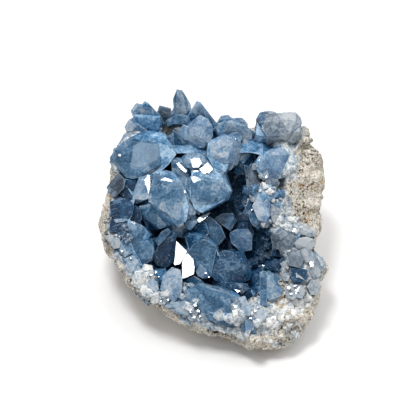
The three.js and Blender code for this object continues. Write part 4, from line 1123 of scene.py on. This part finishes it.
def markBed(bed, large, everything, kind):  # how many of that kind grow where, and how large
    marks = []
    for vertex in bed.data.vertices:
        point = vertex.co
        found, normal, index, away = large.find_nearest(point, druse["search"] * mm)
        free = found is None or away > druse["keepOff"] * mm and (point - found).dot(normal) > 0
        if not free or vertex.normal.dot(outward) <= druse["facing"]:
            marks.append((0, mm, 0))
            continue
        x, y = seenPlace(point)[:2]
        patch = min(drusePatches, key=lambda p: math.hypot(x - p[0], y - p[1]) / p[2])
        reach = math.hypot(x - patch[0], y - patch[1]) / patch[2]
        start = point + vertex.normal * druse["clearance"] * mm
        if kind == "medium":
            far = found is None or away > medium["keepOff"] * mm
            marks.append(mediumMark(patch, reach, far))
        elif everything.ray_cast(start, outward)[0] is None:  # nothing is in front of it
            marks.append(druseMark(patch, reach, barePart(x, y)))
        else:
            marks.append((0, mm, 0))
    markPoints(bed, marks)


def meshTree(pieces):
    vertices, faces = [], []
    for piece in pieces:
        start = len(vertices)
        vertices += [v.co for v in piece.data.vertices]
        faces += [[start + i for i in face.vertices] for face in piece.data.polygons]
    return BVHTree.FromPolygons(vertices, faces)


def makeSmallCrystals(stone, crust, large, reach):
    dice = random.Random(druse["shapes"])
    bed = copyOfNode("crystal_crust", "bed")
    fitOutline(bed, reach)
    applied(bed, "REMESH", mode="VOXEL", voxel_size=druse["mesh"] * mm)
    stoneBed = copyOf(stone, "stoneBed")
    markBed(bed, meshTree(large), None, "medium")
    templates = makeTemplates("prism", dice, medium)
    prisms = sown(bed, templates, "celestiteMedium", medium)
    discard(templates.objects, templates)
    templates = makeTemplates("block", dice, druse)
    bed = joined([bed, stoneBed], "bed")
    markBed(bed, meshTree([*large, prisms]), meshTree([*large, stone, crust, prisms]), "druse")
    blocks = sown(bed, templates, "celestiteDruse", druse)
    discard([bed, *templates.objects], templates)
    return prisms, blocks


# What the celestite finishes share

celestiteFinish = {
    "through": 0.4,  # how much light passes, the rest is cloudiness
    "body": "#6f9cc8",  # the blue that passes
    "density": 60,  # of it, for each metre
    "ior": 1.62,
    "rough": 0.08,
    "sheen": 0.5,
    # the colour of the painted highlight along the outer edges
    "edges": "#b9d4ec",
    "edgeHighlightReach": 0.5,  # mm, how far from an edge the painted highlight reaches
    "depth": 5,  # mm, how wide a gap still takes the painted shade
    "flaws": 3.6,  # mm, flat-sided parts that are lighter or darker
    "relief": 0.1,
    "lumps": (  # size in mm, detail, roughness and twist of its veils, clouds, painted sparkle highlights and marks
        (1.0, 5, 0.68, 0.3), (6, 3, 0.5, 0.6), (0.5, 3, 0.6, 0), (1.3, 4, 0.6, 0)),
    "crackWidth": 0.5,  # mm, far wider than a real hairline, so that it shows
    "cracks": ((0.5, 0.9, 0.2), (2.1, 0.3, 1.2), (1.2, 2.0, 2.6)),  # the turns of three sets
}


def celestite(finish):  # clear blue crystal clouded by veils: deep where clear, pale where not
    finish = {**celestiteFinish, **finish}
    material, tree = newMaterial(finish["name"])
    coords = addNode(tree, "ShaderNodeTexCoord", output="Object")
    lumps = []
    for size, detail, rough, twist in finish["lumps"]:
        lumps.append(addNode(tree, "ShaderNodeTexNoise", {
            "Vector": coords, "Scale": 1 / (size * mm), "Detail": detail, "Roughness": rough,
            "Distortion": twist}))
    veils, clouds, paintedSparkles, marks = lumps
    flaws = addNode(tree, "ShaderNodeTexVoronoi", {
        "Vector": coords, "Scale": 1 / (finish["flaws"] * mm)}, output="Color",
        distance="CHEBYCHEV")
    flaws = addNode(tree, "ShaderNodeSeparateColor", {"Color": flaws}, output="Red")
    lightness = addNode(tree, "ShaderNodeAttribute", output="Fac", attribute_name="tone")
    for part, low, high, most in (
            (veils, 0.32, 0.68, 0.3), (clouds, 0.3, 0.7, 0.2), (flaws, 0, 1, 0.2)):
        part = addNode(tree, "ShaderNodeMapRange", {
            "Value": part, "From Min": low, "From Max": high, "To Min": -most, "To Max": most})
        lightness = addNode(tree, "ShaderNodeMath", {0: lightness, 1: part}, operation="ADD")
    colour = addNode(tree, "ShaderNodeValToRGB", {"Fac": lightness}, stops=[
        (0.0, finish["deep"]), (0.5, finish["middle"]), (1.0, finish["pale"])])
    # painted highlight: paler colour along the outer edges; painted shade: the gaps between crystals
    # are tinted deep blue
    inner = addNode(tree, "ShaderNodeAmbientOcclusion", {"Distance": finish["edgeHighlightReach"] * mm},
                    output="AO", inside=True, only_local=True, samples=6)
    colour = tinted(tree, colour, linear(finish["edges"]), inner, (0.5, 0.95), (0.5, 0))
    outer = addNode(tree, "ShaderNodeAmbientOcclusion", {"Distance": finish["depth"] * mm},
                    output="AO", samples=6)
    colour = tinted(tree, linear(finish["gapShade"]), colour, outer, (0.1, 0.62))
    # painted highlight: small pale sparkles
    colour = tinted(tree, colour, linear("#e6eff6"), paintedSparkles, (0.66, 0.72), (0, 0.8))
    for turn in finish["cracks"]:
        laid = addNode(tree, "ShaderNodeMapping", {
            "Vector": coords, "Rotation": turn, "Scale": (1, 12, 4)}, vector_type="TEXTURE")
        crack = addNode(tree, "ShaderNodeTexNoise", {
            "Vector": laid, "Scale": 1 / (finish["crackWidth"] * mm), "Detail": 1,
            "Roughness": 0.5})
        colour = tinted(tree, colour, linear("#dfeaf3"), crack, (0.69, 0.75), (0, 0.28))
    bump = addNode(tree, "ShaderNodeBump", {
        "Height": marks, "Strength": finish["relief"], "Distance": 0.3 * mm})
    shader = addNode(tree, "ShaderNodeBsdfPrincipled", {
        "Base Color": colour, "Normal": bump, "Roughness": finish["rough"],
        "IOR": finish["ior"], "Transmission Weight": finish["through"],
        "Specular IOR Level": finish["sheen"]})
    absorb = addNode(tree, "ShaderNodeVolumeAbsorption", {
        "Color": linear(finish["body"]), "Density": finish["density"]})
    addNode(tree, "ShaderNodeOutputMaterial", {"Surface": shader, "Volume": absorb})
    return material


# Each finish: its colours from deep to pale, and the painted shade in the gaps between such crystals;
# its edges colour is the painted highlight on their edges
finishes = {
    "celestiteClear": {  # glassy blue, with painted shade in its gaps and a painted highlight on its edges
        "name": "clear celestite",
        "deep": "#24597f", "middle": "#6394bb", "pale": "#cbdce9", "gapShade": "#2a6690"},
    "celestiteMilky": {  # paler, the light stays near the surface
        "name": "milky celestite", "through": 0.35, "edgeHighlightReach": 0.6,
        "deep": "#426f9a", "middle": "#7fa5c8", "pale": "#d6e3ee", "gapShade": "#376c98"},
    "celestiteSmoky": {  # grey blue, where the crystal is dull
        "name": "smoky celestite", "edgeHighlightReach": 0.6,
        "deep": "#3a4d60", "middle": "#7f92a6", "pale": "#d5dde3", "gapShade": "#1b2b38"},
    "celestiteDeep": {  # painted shade: dark blue for crystals low in the hollow, with little shine
        "name": "deep celestite", "through": 0.2, "edgeHighlightReach": 0.4, "edges": "#7ba3c6", "sheen": 0.35,
        "deep": "#0c3150", "middle": "#2c587d", "pale": "#86a8c4", "gapShade": "#0d3352"},
    "celestiteMedium": {  # prisms painted dark as shade, among the large ones
        "name": "small celestite", "through": 0.2, "edgeHighlightReach": 0.3, "depth": 3, "sheen": 0.3,
        "deep": "#0d395c", "middle": "#4678a3", "pale": "#b4cde2", "gapShade": "#114468"},
    "celestiteDruse": {  # sugary, from deep blue to white on the rim
        "name": "celestite druse", "through": 0.15, "edgeHighlightReach": 0.15, "depth": 1.2,
        "edges": "#dfeaf3",
        "deep": "#1a4566", "middle": "#91a3b2", "pale": "#fdfcf8", "gapShade": "#52768f"},
    "celestiteBed": {  # matt and deep, seen only in the gaps
        "name": "celestite bed", "through": 0.06, "edgeHighlightReach": 0.3, "depth": 4, "rough": 0.4,
        "sheen": 0.05,
        "deep": "#083657", "middle": "#5586ae", "pale": "#b4cde0", "gapShade": "#0b3d63"},
}
wornEdgeHighlight = {  # the rounded edges are frosted, and painted pale as a highlight
    "name": "worn celestite edge", "through": 0.3, "edgeHighlightReach": 0.4, "rough": 0.3,
    "deep": "#5b90bf", "middle": "#a9cae6", "pale": "#ffffff", "gapShade": "#3a6a96"}
# painted shade: the bed is darkest low in the hollow and paler where it comes up between the crystals
crustBed = {
    "back": 1.1,  # mm that it is set back under the crystals
    "tone": 0.05,  # at its deepest
    "paler": 0.6,  # where it comes up between the crystals
    "from": -3,  # mm, the height where it begins to be paler
    "over": 5,  # mm
}


def makeCrustBed(reach):
    crust = copyOfNode("crystal_crust", "celestiteBed")
    fitOutline(crust, reach)
    applied(crust, "DISPLACE", strength=-crustBed["back"] * mm, mid_level=0)
    tones = []
    for vertex in crust.data.vertices:
        h = seenPlace(vertex.co)[2]
        # painted shade, paler as it rises
        up = clamped((h - crustBed["from"]) / crustBed["over"])
        tones.append(crustBed["tone"] + crustBed["paler"] * up)
    setValues(crust, "tone", tones)
    return crust


# Stage, lamps and camera

stage = {
    "floor": 4,  # m
    "paper": 0.93,  # how white it is
    "skyLight": 0.48,
}
lamps = {  # the way to it from the stone, how far and how wide in m, and its brightness
    "key": ((-0.19, 0.03, 0.98), 0.8, 0.22, 25),
    "softbox": ((0.4, 0.55, 0.9), 1.3, 1.9, 1.1),
}


def makeStage():
    bpy.ops.mesh.primitive_plane_add(size=stage["floor"], location=(0, 0, 0))
    floor = bpy.context.object
    floor.name = "floor"
    material, tree = newMaterial("white paper")  # matt, it shows nothing but the shadow
    shader = addNode(tree, "ShaderNodeBsdfPrincipled", {
        "Base Color": [stage["paper"]] * 3 + [1], "Roughness": 0.9, "Specular IOR Level": 0.0})
    addNode(tree, "ShaderNodeOutputMaterial", {"Surface": shader})
    floor.data.materials.append(material)
    world = bpy.data.worlds.new("studio")
    bpy.context.scene.world = world
    world.use_nodes = True
    background = world.node_tree.nodes["Background"]
    background.inputs["Color"].default_value = (1, 1, 1, 1)
    background.inputs["Strength"].default_value = stage["skyLight"]


def addLamp(name, direction, distance, size, radiance):
    light = bpy.data.lights.new(name, "AREA")
    light.shape = "SQUARE"
    light.size = size
    light.energy = radiance * math.pi * size * size  # watts for that brightness
    lamp = bpy.data.objects.new(name, light)
    back = Vector(direction).normalized()
    lamp.location = seenPoint(0, 0) + back * distance
    lamp.rotation_euler = back.to_track_quat("Z", "Y").to_euler()
    bpy.context.scene.collection.objects.link(lamp)


def makeCamera():
    camera = bpy.data.cameras.new("camera")
    camera.lens = sight["lens"]
    camera.sensor_width = sight["sensor"]
    camera.clip_start = 0.05  # m
    camera.clip_end = 10
    thing = bpy.data.objects.new("camera", camera)
    aside, up = sight["aim"]
    aim = (Vector(sight["rimCentre"]) + Vector((aside, 0, 0)) + upward * up) * mm
    thing.location = aim + outward * (eyeDistance * mm)
    thing.rotation_mode = "QUATERNION"
    thing.rotation_quaternion = outward.to_track_quat("Z", "Y")
    bpy.context.scene.collection.objects.link(thing)
    bpy.context.scene.camera = thing


makeStage()
for name, (direction, distance, size, radiance) in lamps.items():
    addLamp(name, direction, distance, size, radiance)
makeCamera()
print("stage, lamps and camera made")

stone, reach = makeRock()
stone.data.materials.append(limestone())
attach(stone, "root")
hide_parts("rock_rind")

large = makeCrystals()
crust = makeCrustBed(reach)
prisms, blocks = makeSmallCrystals(stone, crust, large, reach)
edge = celestite(wornEdgeHighlight)
for piece in large:
    piece.data.materials[0] = celestite(finishes[piece.name])
    piece.data.materials[1] = edge
for piece in (prisms, blocks, crust):
    piece.data.materials.append(celestite(finishes[piece.name]))
grainy = makeGrains(stone, [*large, prisms, blocks, crust])
grainy.data.materials.append(grainMaterial())
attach(grainy, "root")
for piece in (*large, prisms, blocks, crust):
    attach(piece, "root")
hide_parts("crystal_crust")

bpy.context.scene.view_settings.view_transform = "Standard"
bpy.context.scene.view_settings.look = "None"
